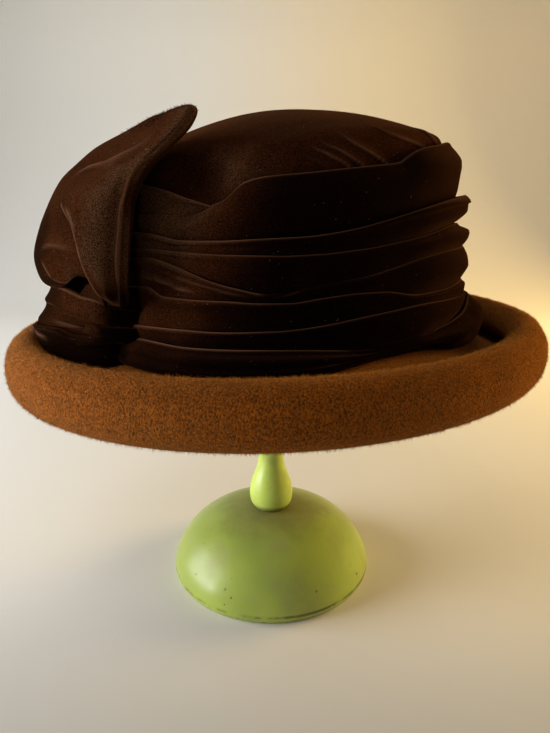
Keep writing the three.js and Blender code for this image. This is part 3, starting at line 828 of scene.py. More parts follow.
class HAT_OT_band(Operator):
    """Gathered velvet band, laid in overlapping folds round the crown"""
    bl_idname = "hat.band"
    bl_label = "Pleated band"

    def execute(self, context):
        azimuth = spread_azimuths(400, centre=-72, width=55, density=1.9)
        outline, crests, steps, hem, top = band_outline(azimuth)
        crest = curve_points(crests[..., None], steps)[..., 0]
        outer, folded = band_face(azimuth, curve_points(outline, steps))
        # The inner face runs from just over the hem to just under the top edge.
        backing = (hem + 1.2) + (top - 3 - hem) * np.linspace(0, 1, 18)[:, None]
        inner = hat_point(azimuth, wall_out(backing) + BACKING_OFF, backing)
        grid = np.concatenate([outer, inner])
        rows, columns = grid.shape[:2]
        band = new_piece("band_velvet", grid.reshape(-1, 3),
                         grid_faces(rows, columns, close_rows=True, close_columns=True))
        # Painted highlight along the crests of the folds and creases.
        mask = np.zeros((rows, columns))
        shiny = crest ** 7 * by_azimuth(BAND_HIGHLIGHT, azimuth)
        mask[:len(crest)] = np.clip(np.maximum(shiny, folded * 0.7), 0, 1)
        store_mask(band, "crest_highlight", mask.reshape(-1))
        face_outwards(band)
        # Painted light and shade on the pile.
        paint_light_on_pile(band, band_painted_light)
        finish_piece(band, "dark velvet", "side_drape")
        return {"FINISHED"}


# --- Bow ----------------------------------------------------------------------------------

# Upper loop, bottom to tip. Each row runs from the edge turned in behind the hem, over the
# hem's two rolls and the front, over the front flap's fold, under it, and round the side to
# the back. UPPER_STEPS are the steps between its points.
UPPER_LOOP = [
    [(-63.1, -78, 187.6), (-64.1, -78, 186.9), (-65.1, -80.5, 187.1), (-68.2, -75, 186.2),
     (-69.6, -76.2, 186.1), (-71.2, -76.2, 186.4), (-73, -76.5, 186.9), (-74.3, -76.5, 187.8),
     (-76, -76, 188.9), (-78.5, -84, 200), (-86, -85.5, 203.5), (-94, -80.5, 198.8),
     (-108, -61, 196), (-109, -45, 200), (-104, -24, 203)],
    [(-62.5, -84, 191.8), (-63.5, -83, 191.2), (-63.9, -87, 191.4), (-65.5, -87.4, 191.4),
     (-66.9, -89, 191.2), (-68.9, -88.4, 191.3), (-71.4, -88.8, 191.9), (-73, -88, 192.4),
     (-75.4, -86.5, 193.6), (-78.3, -87, 202.1), (-87.5, -86, 205), (-96, -80.5, 200.8),
     (-112, -61, 198.5), (-112, -45, 202), (-106, -24, 205)],
    [(-63.2, -86, 198), (-62.4, -90, 197.8), (-62, -94.4, 198.2), (-63.3, -95, 198.3),
     (-64.8, -97.2, 198.1), (-66.9, -96.5, 198), (-69.4, -99.6, 198), (-72, -99, 198.3),
     (-76.2, -95, 198.7), (-77, -91.5, 205.8), (-89.5, -85.5, 207.5), (-99, -79, 204.3),
     (-114.2, -61, 203.5), (-113.4, -45, 207), (-107, -24, 208)],
    [(-61.7, -87, 210.1), (-60.4, -93, 210.1), (-60.2, -97.4, 210.1), (-61.4, -98.1, 210.1),
     (-63.1, -100.4, 209.9), (-66, -99.8, 210), (-68.6, -101.4, 210), (-73.5, -102, 210),
     (-78.8, -100, 210.3), (-78.4, -95, 211.5), (-93, -83.5, 212), (-104, -74.6, 211.8),
     (-115.2, -60.5, 211.5), (-113.4, -43, 213), (-105.8, -22, 214)],
    [(-59.4, -88, 223.9), (-58.5, -93.5, 224), (-58.5, -98, 224.1), (-59.9, -98.7, 224.1),
     (-61.2, -101, 223.8), (-63.4, -100.4, 224.2), (-67, -102, 224), (-75, -102, 224.5),
     (-82, -98, 225.2), (-81, -92.5, 226), (-94.5, -79, 225.5), (-103.8, -70.5, 225.3),
     (-111.7, -58, 225), (-109.4, -42, 226), (-102.8, -22, 226)],
    [(-57.1, -88, 236), (-56.4, -93, 235.9), (-56.7, -97, 236.4), (-58, -97.6, 236.5),
     (-59.3, -99.6, 236.6), (-61.5, -99.1, 236.9), (-65, -100, 237), (-77, -96.5, 237),
     (-90, -85.5, 236), (-88.5, -81.5, 236.5), (-96.5, -71, 237), (-102.4, -64.4, 237.2),
     (-106.6, -54, 237), (-104.2, -41, 237), (-98.4, -23, 237)],
    [(-52.4, -87, 245.8), (-52.6, -91, 246), (-53.6, -94.3, 246.3), (-54.7, -94.8, 246.7),
     (-55.9, -96, 247), (-58, -95.6, 247.2), (-62.5, -94.8, 247.7), (-76, -87, 247),
     (-90, -70.5, 246), (-89, -67.5, 246.6), (-94.2, -60, 247.8), (-98.4, -55.8, 247.8),
     (-101.5, -50, 247.5), (-99.6, -41, 247), (-93, -26, 246)],
    [(-46.3, -86, 252.9), (-46.5, -90, 253), (-47.7, -92.4, 253.5), (-48.8, -92.6, 253.8),
     (-50.1, -93.4, 254), (-52, -93, 254), (-56.8, -91, 253.8), (-65, -85, 252.8),
     (-71, -79.5, 252), (-71.5, -76.8, 252.4), (-81.5, -65, 256.1), (-89, -58.2, 254.8),
     (-94.1, -50, 253.5), (-91.4, -43, 252), (-86, -31, 251)],
    [(-40.2, -85, 258.6), (-40.4, -89, 258.9), (-41.9, -90.6, 259.5), (-43.1, -90.6, 259.7),
     (-44.3, -91, 259.8), (-45.9, -90.7, 259.7), (-49.5, -89, 259.3), (-53, -86.5, 259),
     (-58, -83, 258.6), (-59.5, -80, 259), (-72, -66, 262.7), (-79.1, -60.2, 261.2),
     (-84.3, -53, 260), (-82, -47, 257), (-78, -37, 256)],
    [(-33.7, -82.5, 265.6), (-33.7, -86.5, 266), (-34.9, -88, 266.5), (-36, -88.2, 266.9),
     (-37.3, -88.4, 267.1), (-38.9, -88, 267.2), (-42.2, -86.6, 267.4), (-46, -84, 267),
     (-49.5, -81, 266.8), (-50.5, -78, 267.2), (-57.7, -69, 268.8), (-63.7, -65.2, 267.4),
     (-68.3, -60, 266.4), (-67, -56, 264), (-63, -48, 263)],
    [(-31.4, -80, 270), (-30.5, -83, 271), (-30.7, -85.5, 272.2), (-31.9, -86, 273),
     (-33.1, -86, 273.4), (-34.6, -85.6, 273.6), (-37.1, -84.2, 273.5), (-40.7, -81.8, 273.2),
     (-44, -79, 272.7), (-45.3, -77, 272.6), (-50, -71, 272.8), (-52.8, -68.9, 272.2),
     (-55, -66, 271), (-55, -63, 269.5), (-53, -58, 268)],
    [(-30.9, -78, 272.3), (-30.4, -80.5, 273.2), (-30.8, -82.2, 274.1), (-31.9, -82.8, 274.6),
     (-33.1, -83, 274.8), (-34.6, -82.6, 274.9), (-37.1, -81.4, 274.6), (-40, -79.4, 274.2),
     (-42.9, -77, 273.7), (-44, -75.4, 273.5), (-47.1, -71, 273.2), (-48.9, -69.5, 272.6),
     (-50.7, -67.5, 271.9), (-51, -65, 271.4), (-49.5, -61, 270)],
]
UPPER_STEPS = [3, 3, 3, 3, 3, 3, 4, 10, 8, 4, 14, 12, 26, 12]
# Width of the painted highlight along a crest.
HIGHLIGHT_WIDTH = 0.42
# Crests that get a painted highlight: column, how strong, first and last row.
UPPER_HIGHLIGHTS = [(4, 0.35, 0.4, 6.6), (2, 0.2, 0.6, 5), (8, 0.5, 0.3, 6.2), (0, 0.1, 4, 9)]
UPPER_CREASES = [
    ([(-109, -70, 213), (-105.2, -74.2, 216), (-98, -80, 216.4), (-91, -85.5, 216.2),
      (-85, -90, 216.4)], 1.5, 1.6, 3.4, 0.4),
    ([(-107, -71, 211), (-105, -74.4, 207.5), (-102, -76.4, 203.4), (-98, -79.2, 201.2),
      (-92, -83.4, 200.4), (-87, -86.5, 202)], 1.3, 0.5, 3, 0.15),
    ([(-90, -85.5, 236), (-88.5, -90.5, 232.6), (-86, -94, 229), (-82.4, -98, 225.4),
      (-81, -99.4, 221), (-80, -100, 214), (-78.6, -100, 208), (-76.5, -98.6, 202.5),
      (-74.6, -96.5, 198.5), (-72.5, -93, 194.5)], 0.6, 0.5, 0.8, 0.05),
    ([(-86.5, -91, 233.5), (-84, -94.6, 231), (-81.6, -97.6, 227.6), (-79.6, -99.6, 223)],
     0.6, 0.6, 0.8, 0.3),
    ([(-93, -66, 243), (-82, -77, 248.5), (-69.2, -88.2, 250.4), (-62, -87, 254.4),
      (-55.7, -86.8, 257.8), (-49.8, -85.4, 262), (-46, -83.5, 266)], 2.1, 1.9, 3.4, 0.4),
    ([(-65, -99.2, 194), (-64.6, -100, 204), (-63.2, -101, 216), (-61.6, -101, 226),
      (-59.4, -99.6, 237), (-54.6, -96, 248), (-47.8, -93.4, 254.3), (-42.2, -91, 260.2)],
     0.5, 0.6, 0.9, 0.12),
    ([(-104, -62, 228), (-98, -70, 231), (-91, -78, 230)], 0.5, 4, 5, 0.4),
    ([(-72, -102, 226), (-74, -102, 214), (-71, -100, 203)], -0.6, 5, 5, 0.4),
    ([(-76, -94, 243), (-70, -98, 236), (-68, -101, 228)], 0.5, 4, 6, 0.4),
]

FRAYED_THREADS = 700
THREAD_WIDTH = 0.09        # half width of a thread at its root

# The small tongue of cloth in the eye between the loops, in rows from the bottom up.
TONGUE = [
    [(-88, -74, 191), (-83, -76, 190.5), (-78, -78, 189.5), (-73, -79.5, 188)],
    [(-86.6, -79, 196.4), (-82.4, -81.6, 196.6), (-78.4, -83.4, 195), (-74, -84, 190.8)],
    [(-85.4, -81, 197.8), (-81.6, -84.4, 200.4), (-78.2, -86.2, 199.6), (-74, -86, 193.6)],
]

# Lower loop, by azimuth. REACH is its distance from the hat's middle at its widest, the two
# IN tables are how far inside that its top edge and its middle crease lie, FOLDS and PLEAT are
# how deeply the crease and the lip are laid, and the others are heights.
LOOP_REACH = {-123: 95, -126.5: 100, -129: 107, -131.5: 114, -135: 121, -140: 127, -144: 131,
              -149: 136, -153: 138.6, -157: 138.6, -163: 133, -168: 125, -174: 112}
LOOP_TOP = {-121: 187, -128: 189, -131.2: 190.5, -134.2: 192.4, -136.3: 193.9, -139: 194.9,
            -141.2: 196.4, -144: 198, -147: 198.6, -152: 198.2, -157: 196, -163: 192.5,
            -174: 188}
LOOP_TOP_IN = {-121: 2, -136: 2.4, -144: 3.4, -148: 5.8, -152: 9.5, -157: 12, -163: 12, -174: 8}
LOOP_CREASE = {-121: 175, -131.9: 177.7, -133.9: 179.4, -135.6: 181.4, -138.7: 183.2,
               -142.1: 184.8, -145.4: 186.9, -147.8: 188.3, -152.1: 188.6, -158: 187,
               -165: 183, -174: 178}
LOOP_CREASE_IN = {-121: 2, -136: 2.2, -144: 3, -148: 4.2, -152: 5.8, -157: 7.4, -163: 7.6,
                  -174: 5}
LOOP_FOLDS = {-121: 1, -141: 1, -146: 0.6, -151: 0.2, -157: 0, -174: 0}
LOOP_FAN = {-121: 174.6, -131: 178, -134.9: 179, -139.2: 179.6, -142.9: 180, -147: 179.6,
            -152: 179, -160: 178, -174: 174}
LOOP_LIP = {-121: 173, -130.4: 176.2, -132.5: 175.2, -135: 174.2, -138.8: 173.9, -141.4: 174.3,
            -143: 175.2, -146: 176.7, -150: 176.8, -156: 176, -174: 172}
LOOP_FOOT = {-121: 163, -128: 161.5, -135: 160, -144: 160.5, -149: 163.5, -153: 167,
             -157: 167.5, -163: 164, -174: 165}
LOOP_PLEAT = {-121: 0.2, -130: 0.7, -136: 0.9, -143: 1, -150: 1, -154: 0.6, -160: 0.3, -174: 0}
# Painted highlights along the lower loop's crests: column, how strong, first and last row.
LOWER_HIGHLIGHTS = [(4, 0.5, 8, 40), (7, 0.2, 10, 26), (13, 0.5, 9, 24)]
LOWER_CREASES = [
    ([(-120, -52, 177), (-118.5, -58, 174.5), (-113.5, -66, 172.4), (-107, -72, 171)],
     1.2, 1.1, 1.8, 0.25),
    ([(-106, -72, 181.6), (-99, -79, 181.8), (-91, -84, 181), (-83, -88, 180)],
     0.5, 0.8, 0.9, 0.3),
    ([(-104, -74, 178.4), (-97, -80, 178), (-88, -86, 177.6)], 0.5, 0.8, 0.9, 0.3),
]


def lower_loop_rows():
    """Rows of points from the bow's middle round to the left, each from the top edge, turned
    in, down over the two folds and the lip to the foot."""
    azimuth = -np.linspace(123, 174, 46)

    def at(table):
        """A table's values at the rows."""
        return by_azimuth(table, azimuth)

    reach, top, crease, fan = at(LOOP_REACH), at(LOOP_TOP), at(LOOP_CREASE), at(LOOP_FAN)
    lip, foot, pleat = at(LOOP_LIP), at(LOOP_FOOT), at(LOOP_PLEAT)
    top_in, crease_in, folds = at(LOOP_TOP_IN), at(LOOP_CREASE_IN), at(LOOP_FOLDS)
    fan_in = crease_in * 0.4
    section = [
        (top_in + 16, top + 9),
        (top_in + 7, top + 1),
        (top_in + 3, top - 1.2),
        (top_in + 1.1, top),
        (top_in - 0.2, top - 1.3),
        ((top_in + crease_in) / 2 - 1.9 * folds + 0.2, (top + crease) / 2),
        (crease_in - 1.8 * folds, crease + 1.5),
        (crease_in - 0.6 * folds, crease + 0.1),
        (crease_in + 1.2 * folds, crease - 0.9),
        (crease_in - 0.4, crease - 2.6),
        (fan_in - 0.8, fan + 0.4),
        (fan_in + 0.4, fan - 1),
        (1.0 + 2.4 * pleat, (fan + lip) / 2),
        (0.6 + 1.6 * pleat, lip + 0.7),
        (-0.9 * pleat, lip),
        (0.6 + 0.9 * pleat, lip - 1.8),
        (0.2, (lip + foot) / 2),
        (1.6, foot + 2),
        (6, foot),
    ]
    turn = np.radians(azimuth)
    rows = [np.stack([HAT_X + (reach - inset) * np.cos(turn), (reach - inset) * np.sin(turn),
                      height], axis=-1) for inset, height in section]
    return np.stack(rows, axis=1)


def smooth_grid(rows, along, across):
    """Fine grid of points through rows of control points."""
    lines = curve_points(rows, [along] * (len(rows) - 1))
    return curve_points(lines.swapaxes(0, 1), across).swapaxes(0, 1)


def thicken(piece, thickness):
    """Gives cloth its thickness, inwards, and rounds its cut edges."""
    pick(piece)
    wall = piece.modifiers.new("wall", "SOLIDIFY")
    wall.thickness = thickness
    wall.offset = -1
    wall.use_even_offset = False
    edge = piece.modifiers.new("edge", "BEVEL")
    edge.width = thickness * 0.32
    edge.segments = 2
    edge.limit_method = "ANGLE"
    edge.angle_limit = math.radians(55)
    for modifier in ("wall", "edge"):
        bpy.ops.object.modifier_apply(modifier=modifier)
    smooth_faces(piece)


def loop_cloth(name, rows, along, across, creases, thickness, shade, shiny=()):
    """A folded loop of velvet through rows of points, with its creases and thickness, painted
    highlights on its crests and painted light and shade on its pile.
    along and across are the steps between the rows and between the points of a row."""
    grid = smooth_grid(rows, along, across)
    normals = grid_normals(grid, wrap=False)
    grid, crest = press_creases(grid, normals, creases)
    starts = np.concatenate([[0], np.cumsum(across)])
    row = np.arange(len(grid)) / along
    # Painted highlight along the chosen crests.
    for column, amount, first, last in shiny:
        ends = ease(row, first, first + 1.5) * ease(-row, -last, 1 - last)
        line = grid[:, starts[column]]
        near = np.linalg.norm(grid - line[:, None], axis=-1)
        crest = np.maximum(crest, amount * ends[:, None] * bell(near, HIGHLIGHT_WIDTH))
    grid = grid + normals * (ripple(41, grid, 15) * 0.28)[..., None]
    loop = new_piece(name, grid.reshape(-1, 3), grid_faces(*grid.shape[:2]))
    store_mask(loop, "crest_highlight", crest.reshape(-1))
    thicken(loop, thickness)
    # Painted light and shade on the pile.
    paint_light_on_pile(loop, shade)
    return loop


def facing_front(normals):
    """1 where cloth faces the front."""
    return ease(normals @ [0.42, -0.9, 0.1], 0.2, 0.9)


def upper_loop_painted_light(points, normals):
    """Painted light on the leaf's front, and painted shade at its foot and along its right edge."""
    pale = 0.1 + 0.8 * facing_front(normals) + 0.25 * ease(normals[:, 2], 0.2, 0.7)
    right_edge = ease(points[:, 0], -61, -55) * ease(-points[:, 2], -248, -236)
    return pale * ease(points[:, 2], 190, 204) * (1 - 0.75 * right_edge)


def lower_loop_painted_light(points, normals):
    """Painted light on the bag's front and left; painted shade by the bow's middle and below the
    lip.
    """
    pale = 0.12 + 0.6 * facing_front(normals)
    return (pale * ease(hat_azimuth(points), -132, -136)
            * (0.15 + 0.85 * ease(points[:, 2], 172, 180)))


def tongue_painted_light(points, normals):
    """Painted light on the tongue's front."""
    return 0.2 + 0.5 * facing_front(normals)


def on_tip(points, normals):
    """Threads stand out of the leaf's tip."""
    return ease(points[:, 2], 264, 270) * (normals[:, 2] > 0.2) * (normals[:, 1] > -0.6)


class HAT_OT_upper_loop(Operator):
    """Upper loop of the bow, a leaf of folded velvet that stands off the crown"""
    bl_idname = "hat.upper_loop"
    bl_label = "Upper loop"

    def execute(self, context):
        loop = loop_cloth("upper_loop_velvet", UPPER_LOOP, 13, UPPER_STEPS, UPPER_CREASES,
                          hat_sizes().loop_thickness, upper_loop_painted_light, UPPER_HIGHLIGHTS)
        roots, normals, random = scatter_on(loop, FRAYED_THREADS, 19, on_tip)
        ways = unit(normals + random.normal(size=normals.shape) * 0.5)
        lengths = random.uniform(0.5, 1.3, len(roots))
        fray = spikes("frayed_tip", roots, ways, lengths, THREAD_WIDTH)
        finish_piece(fray, "dark velvet")
        finish_piece(loop, "dark velvet", "upper_loop")
        return {"FINISHED"}


class HAT_OT_lower_loop(Operator):
    """Lower loop of the bow, a flat bag of velvet under the leaf, and the tongue between"""
    bl_idname = "hat.lower_loop"
    bl_label = "Lower loop"

    def execute(self, context):
        thickness = hat_sizes().loop_thickness
        rows = lower_loop_rows()
        loop = loop_cloth("lower_loop_velvet", rows, 3, [5] * (rows.shape[1] - 1),
                          LOWER_CREASES, thickness, lower_loop_painted_light, LOWER_HIGHLIGHTS)
        tongue = loop_cloth("tongue_velvet", TONGUE, 8, [8] * 3, [], thickness * 0.6,
                            tongue_painted_light)
        finish_piece(tongue, "dark velvet")
        finish_piece(loop, "dark velvet", "lower_loop")
        return {"FINISHED"}


# --- Stand --------------------------------------------------------------------------------

# The base's rolled edge: how far in from its full radius, height.
BASE_EDGE = [(3.6, 0), (2.6, 0.12), (1.5, 0.7), (0.7, 1.9), (0.15, 3.2)]
EDGE_HEIGHT = 4.0          # where the dome starts above the edge
DOME_OVER_SEAT = 0.3       # the dome's middle, if it weren't cut flat, over the seat's height
# The stem: radius, height above its foot; and the rounding of its two ends.
STEM_LINE = [(11.6, 0), (12.6, 1.6), (13.6, 4), (14.2, 10), (12.6, 18), (9.4, 27), (8.1, 35),
             (9, 48), (10.4, 75), (10.8, 120), (9.6, 170)]
STEM_FOOT = [(10.6, 0), (11.3, 0.15)]
STEM_TOP = [(9.6, -0.4), (9.0, 0)]
# The cap's rolled edge: how far in from its full radius, height above its underside.
CAP_EDGE = [(3, 0), (1.2, 0.5), (0.2, 1.8), (0, 3.4)]
CAP_DROP = 16              # how far the cap's rim lies below its top


def base_height(radius):
    """Height of the domed base at a distance from its middle."""
    sizes = bpy.context.scene.breton_stand_sizes
    share = np.clip(radius / (sizes.base_radius / MM), 0, 1) ** 2.6
    rise = sizes.base_height / MM + DOME_OVER_SEAT - EDGE_HEIGHT
    return EDGE_HEIGHT + rise * (1 - share) ** (1 / 1.7)


def turn_stand_piece(node, rings, sides):
    """Turns a piece of the stand in place of a CAD node, with both ends closed."""
    piece = turned_rings(node + "_paint", rings, sides)
    select_open_edges()
    bpy.ops.mesh.fill_holes(sides=0)
    bpy.ops.object.mode_set(mode="OBJECT")
    face_outwards(piece)
    bpy.ops.object.shade_smooth_by_angle(angle=math.radians(50))
    finish_piece(piece, "green paint", node)


class HAT_OT_stand(Operator):
    """Turned stand: domed base, waisted stem and the cap that the crown rests on"""
    bl_idname = "hat.stand"
    bl_label = "Hat stand"

    def execute(self, context):
        full = context.scene.breton_stand_sizes.base_radius / MM
        seat = float(base_height(SEAT_RADIUS))
        rings = [(full - inset, height) for inset, height in BASE_EDGE]
        radii = full * np.sin(np.linspace(math.pi / 2, math.asin(SEAT_RADIUS / full), 40))
        rings += [(radius, float(base_height(radius))) for radius in radii]
        rings.append((SEAT_RADIUS - 1.5, seat))
        turn_stand_piece("stand_base", rings, 160)

        cap_low, cap_high = (corner.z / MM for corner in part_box("stand_cap"))
        foot, top = seat + SEAM_GAP, cap_low - SEAM_GAP
        line = curve_points(STEM_LINE, [5] * (len(STEM_LINE) - 1))
        rings = [(radius, foot + height) for radius, height in STEM_FOOT]
        rings += [(radius, foot + 0.5 + height) for radius, height in line]
        rings += [(radius, top + height) for radius, height in STEM_TOP]
        turn_stand_piece("stand_stem", rings, 96)

        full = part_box("stand_cap")[1].x / MM
        rings = [(full - inset, cap_low + height) for inset, height in CAP_EDGE]
        shares = np.sin(np.linspace(math.radians(74), math.radians(2), 26))
        rings += [(full * share, cap_high - CAP_DROP * share ** 2.2) for share in shares]
        turn_stand_piece("stand_cap", rings, 128)
        return {"FINISHED"}


# --- Stray fibres -------------------------------------------------------------------------

# How many fibres cling to each piece.
FIBRES = {"band_velvet": 70, "crown_velvet": 26, "upper_loop_velvet": 26,
          "lower_loop_velvet": 10}
FIBRE_WIDTH = 0.042        # half width of a fibre, which is half as wide at its ends
FIBRE_LIFT = 0.28          # how far a fibre lies off the cloth


def on_outside(points, normals):
    """Fibres cling where cloth faces away from the hat's middle."""
    return (points * normals * [1, 1, 0.3]).sum(axis=1) > 25


def fibre_line(root, normal, random):
    """Points along a short fibre, or along a longer hair that curls."""
    curled = random.random() < 0.22
    size = random.uniform(1.2, 2.8) if curled else random.uniform(0.3, 0.9)
    bend = random.uniform(1.5, 4.2) if curled else random.uniform(0, 0.8)
    side = unit(np.cross(normal, random.normal(size=3)))
    other = np.cross(normal, side)
    steps = 9 if curled else 3
    heading, line = 0.0, [root + normal * FIBRE_LIFT]
    for _ in range(steps):
        heading += bend / steps
        at = line[-1] + (np.cos(heading) * side + np.sin(heading) * other) * size / steps
        line.append(at + normal * random.uniform(-0.02, 0.05))
    return line


def add_fibre(points, faces, line, normal):
    """Adds a three-sided tube along a line of points, closed at both ends."""
    start, last = len(points), len(line) - 1
    for k, p in enumerate(line):
        across = unit(np.cross(line[min(k + 1, last)] - line[max(k - 1, 0)], normal))
        width = FIBRE_WIDTH * (0.5 if k in (0, last) else 1)
        points += [p + across * width, p - across * width, p + normal * width * 1.6]
    for a in range(start, start + 3 * last, 3):
        b = a + 3
        faces += [(a, a + 1, b + 1, b), (a + 1, a + 2, b + 2, b + 1), (a + 2, a, b, b + 2)]
    end = start + 3 * last
    faces += [(start + 2, start + 1, start), (end, end + 1, end + 2)]


class HAT_OT_fibres(Operator):
    """Lint and a few curled hairs that cling to the velvet"""
    bl_idname = "hat.fibres"
    bl_label = "Stray fibres"

    def execute(self, context):
        random = np.random.default_rng(8)
        points, faces = [], []
        for name, count in FIBRES.items():
            roots, normals, _ = scatter_on(bpy.data.objects[name], count, 70 + count, on_outside)
            for root, normal in zip(roots, normals):
                add_fibre(points, faces, fibre_line(root, normal, random), normal)
        lint = new_piece("stray_fibres", points, faces)
        face_outwards(lint)
        finish_piece(lint, "lint")
        return {"FINISHED"}


# --- Materials ----------------------------------------------------------------------------

def fill(tree, socket, value):
    """Joins a socket to another one, or sets its value."""
    if isinstance(value, bpy.types.NodeSocket):
        tree.links.new(value, socket)
    else:
        socket.default_value = value


def node(tree, kind, inputs, **settings):
    """Adds a node, sets it, and joins or fills its inputs."""
    made = tree.nodes.new("ShaderNode" + kind)
    for name, value in settings.items():
        setattr(made, name, value)
    for name, value in inputs.items():
        fill(tree, made.inputs[name], value)
    return made.outputs


def mix_colour(tree, factor, a, b, kind="MIX"):
    """Colour a towards colour b."""
    return node(tree, "Mix", {0: factor, 6: a, 7: b}, data_type="RGBA", blend_type=kind)[2]


def maths(tree, operation, a, b=0.0, clamp=False):
    """A sum, product or other result of one or two numbers."""
    return node(tree, "Math", {0: a, 1: b}, operation=operation, use_clamp=clamp)[0]


def multiply(tree, a, b):
    """The product of two numbers."""
    return maths(tree, "MULTIPLY", a, b)


def remap(tree, value, low, high, to_low=0.0, to_high=1.0):
    """Soft step from to_low to to_high as the value goes from low to high."""
    return node(tree, "MapRange", {"Value": value, "From Min": low, "From Max": high,
                                   "To Min": to_low, "To Max": to_high},
                interpolation_type="SMOOTHSTEP")["Result"]


def noise(tree, where, scale, detail=2.0, roughness=0.5):
    """Cloudy unevenness, about 0.5."""
    return node(tree, "TexNoise", {"Vector": where, "Scale": scale, "Detail": detail,
                                   "Roughness": roughness})["Fac"]


def new_group(name, numbers, results):
    """A node group that takes a Vector and named numbers and gives named numbers. Returns it
    with the sockets that its nodes read and the ones that they fill."""
    group = bpy.data.node_groups.new(name, "ShaderNodeTree")
    sockets = group.interface
    sockets.new_socket(name="Vector", in_out="INPUT", socket_type="NodeSocketVector")
    for socket, value in numbers.items():
        made = sockets.new_socket(name=socket, in_out="INPUT", socket_type="NodeSocketFloat")
        made.default_value = value
    for socket in results:
        sockets.new_socket(name=socket, in_out="OUTPUT", socket_type="NodeSocketFloat")
    start, end = group.nodes.new("NodeGroupInput"), group.nodes.new("NodeGroupOutput")
    return group, start.outputs, end.inputs


def brushed_fibre():
    """Brushed fibre: clumps over fine grain. Gives a height and two masks."""
    tree, given, result = new_group("brushed fibre", {"Clump Scale": 500.0, "Grain Scale": 2400.0,
                                                      "Patch Scale": 30.0},
                                    ("Height", "Clumps", "Patches"))
    clumps = noise(tree, given["Vector"], given["Clump Scale"], 3.0, 0.7)
    grain = noise(tree, given["Vector"], given["Grain Scale"], 2.0, 0.7)
    patches = noise(tree, given["Vector"], given["Patch Scale"], 4.0, 0.6)
    fill(tree, result["Height"], maths(tree, "ADD", multiply(tree, clumps, 0.65),
                                       multiply(tree, grain, 0.35)))
    fill(tree, result["Clumps"], remap(tree, clumps, 0.32, 0.68))
    fill(tree, result["Patches"], remap(tree, patches, 0.35, 0.68))


def scattered_specks():
    """Sparse small specks: lint on cloth, nicks in paint."""
    tree, given, result = new_group("scattered specks", {"Scale": 400.0, "Size": 0.12,
                                                         "Amount": 0.1}, ("Mask",))
    cells = node(tree, "TexVoronoi", {"Vector": given["Vector"], "Scale": given["Scale"]})
    chance = node(tree, "SeparateColor", {"Color": cells["Color"]})["Red"]
    near = maths(tree, "LESS_THAN", cells["Distance"], given["Size"])
    few = maths(tree, "LESS_THAN", chance, given["Amount"])
    fill(tree, result["Mask"], multiply(tree, near, few))


GROUPS = {"brushed fibre": brushed_fibre, "scattered specks": scattered_specks}


def use_group(tree, name, values):
    """A node group in a material, made the first time that it is asked for."""
    if name not in bpy.data.node_groups:
        GROUPS[name]()
    made = tree.nodes.new("ShaderNodeGroup")
    made.node_tree = bpy.data.node_groups[name]
    for socket, value in values.items():
        fill(tree, made.inputs[socket], value)
    return made.outputs


def set_shader(tree, shader, values):
    """Joins or sets the shader's sockets by name."""
    for name, value in values.items():
        fill(tree, shader.inputs[name], value)


def bump(tree, height, strength, distance):
    """The normal of a surface with small heights; distance in metres."""
    return node(tree, "Bump", {"Height": height, "Strength": strength,
                               "Distance": distance})["Normal"]


def solid(colour):
    """A colour with its alpha."""
    return (*colour, 1)


def shade_of(colour, amount):
    """A lighter or darker shade of a colour."""
    return solid(min(1.0, c * amount) for c in colour)


def dark_velvet(tree, shader, where, finishes):
    """Near-black brown velvet with a warm sheen, painted highlights on the crests of its folds and
    painted light and shade on its pile.
    """
    fibre = use_group(tree, "brushed fibre", {"Vector": where, "Clump Scale": 2100.0,
                                              "Grain Scale": 4200.0, "Patch Scale": 34.0})
    specks = use_group(tree, "scattered specks", {"Vector": where, "Scale": 520.0,
                                                  "Size": 0.11, "Amount": 0.07})["Mask"]
    # Mask of the painted highlight on the crests.
    shiny = node(tree, "Attribute", {}, attribute_name="crest_highlight")["Fac"]
    # Mask of painted light and shade on the pile.
    pale = node(tree, "Attribute", {}, attribute_name="painted_light")["Fac"]
    # Painted light: the pile is lightened to its half-lit, then its lit colour where the mask is
    # high.
    lit = multiply(tree, pale, remap(tree, fibre["Patches"], 0, 1, 0.75, 1.0))
    base = mix_colour(tree, remap(tree, lit, 0, 0.5), solid(finishes.velvet),
                      solid(finishes.half_lit_velvet))
    base = mix_colour(tree, remap(tree, lit, 0.4, 1.0), base, solid(finishes.lit_velvet))
    grain = mix_colour(tree, fibre["Clumps"], (0.1, 0.1, 0.1, 1), (2.6, 2.6, 2.6, 1))
    base = mix_colour(tree, 1.0, base, grain, "MULTIPLY")
    # Painted highlight along the crests.
    base = mix_colour(tree, multiply(tree, shiny, finishes.crest_shine), base,
                      solid(finishes.highlight_velvet))
    base = mix_colour(tree, multiply(tree, specks, 0.5), base, (0.3, 0.2, 0.13, 1))
    set_shader(tree, shader, {
        "Base Color": base, "Roughness": 0.85, "Specular IOR Level": 0.0, "Sheen Weight": 1.0,
        "Sheen Roughness": 0.34, "Sheen Tint": solid(finishes.velvet_sheen),
        "Normal": bump(tree, fibre["Height"], 0.5, 0.0004)})


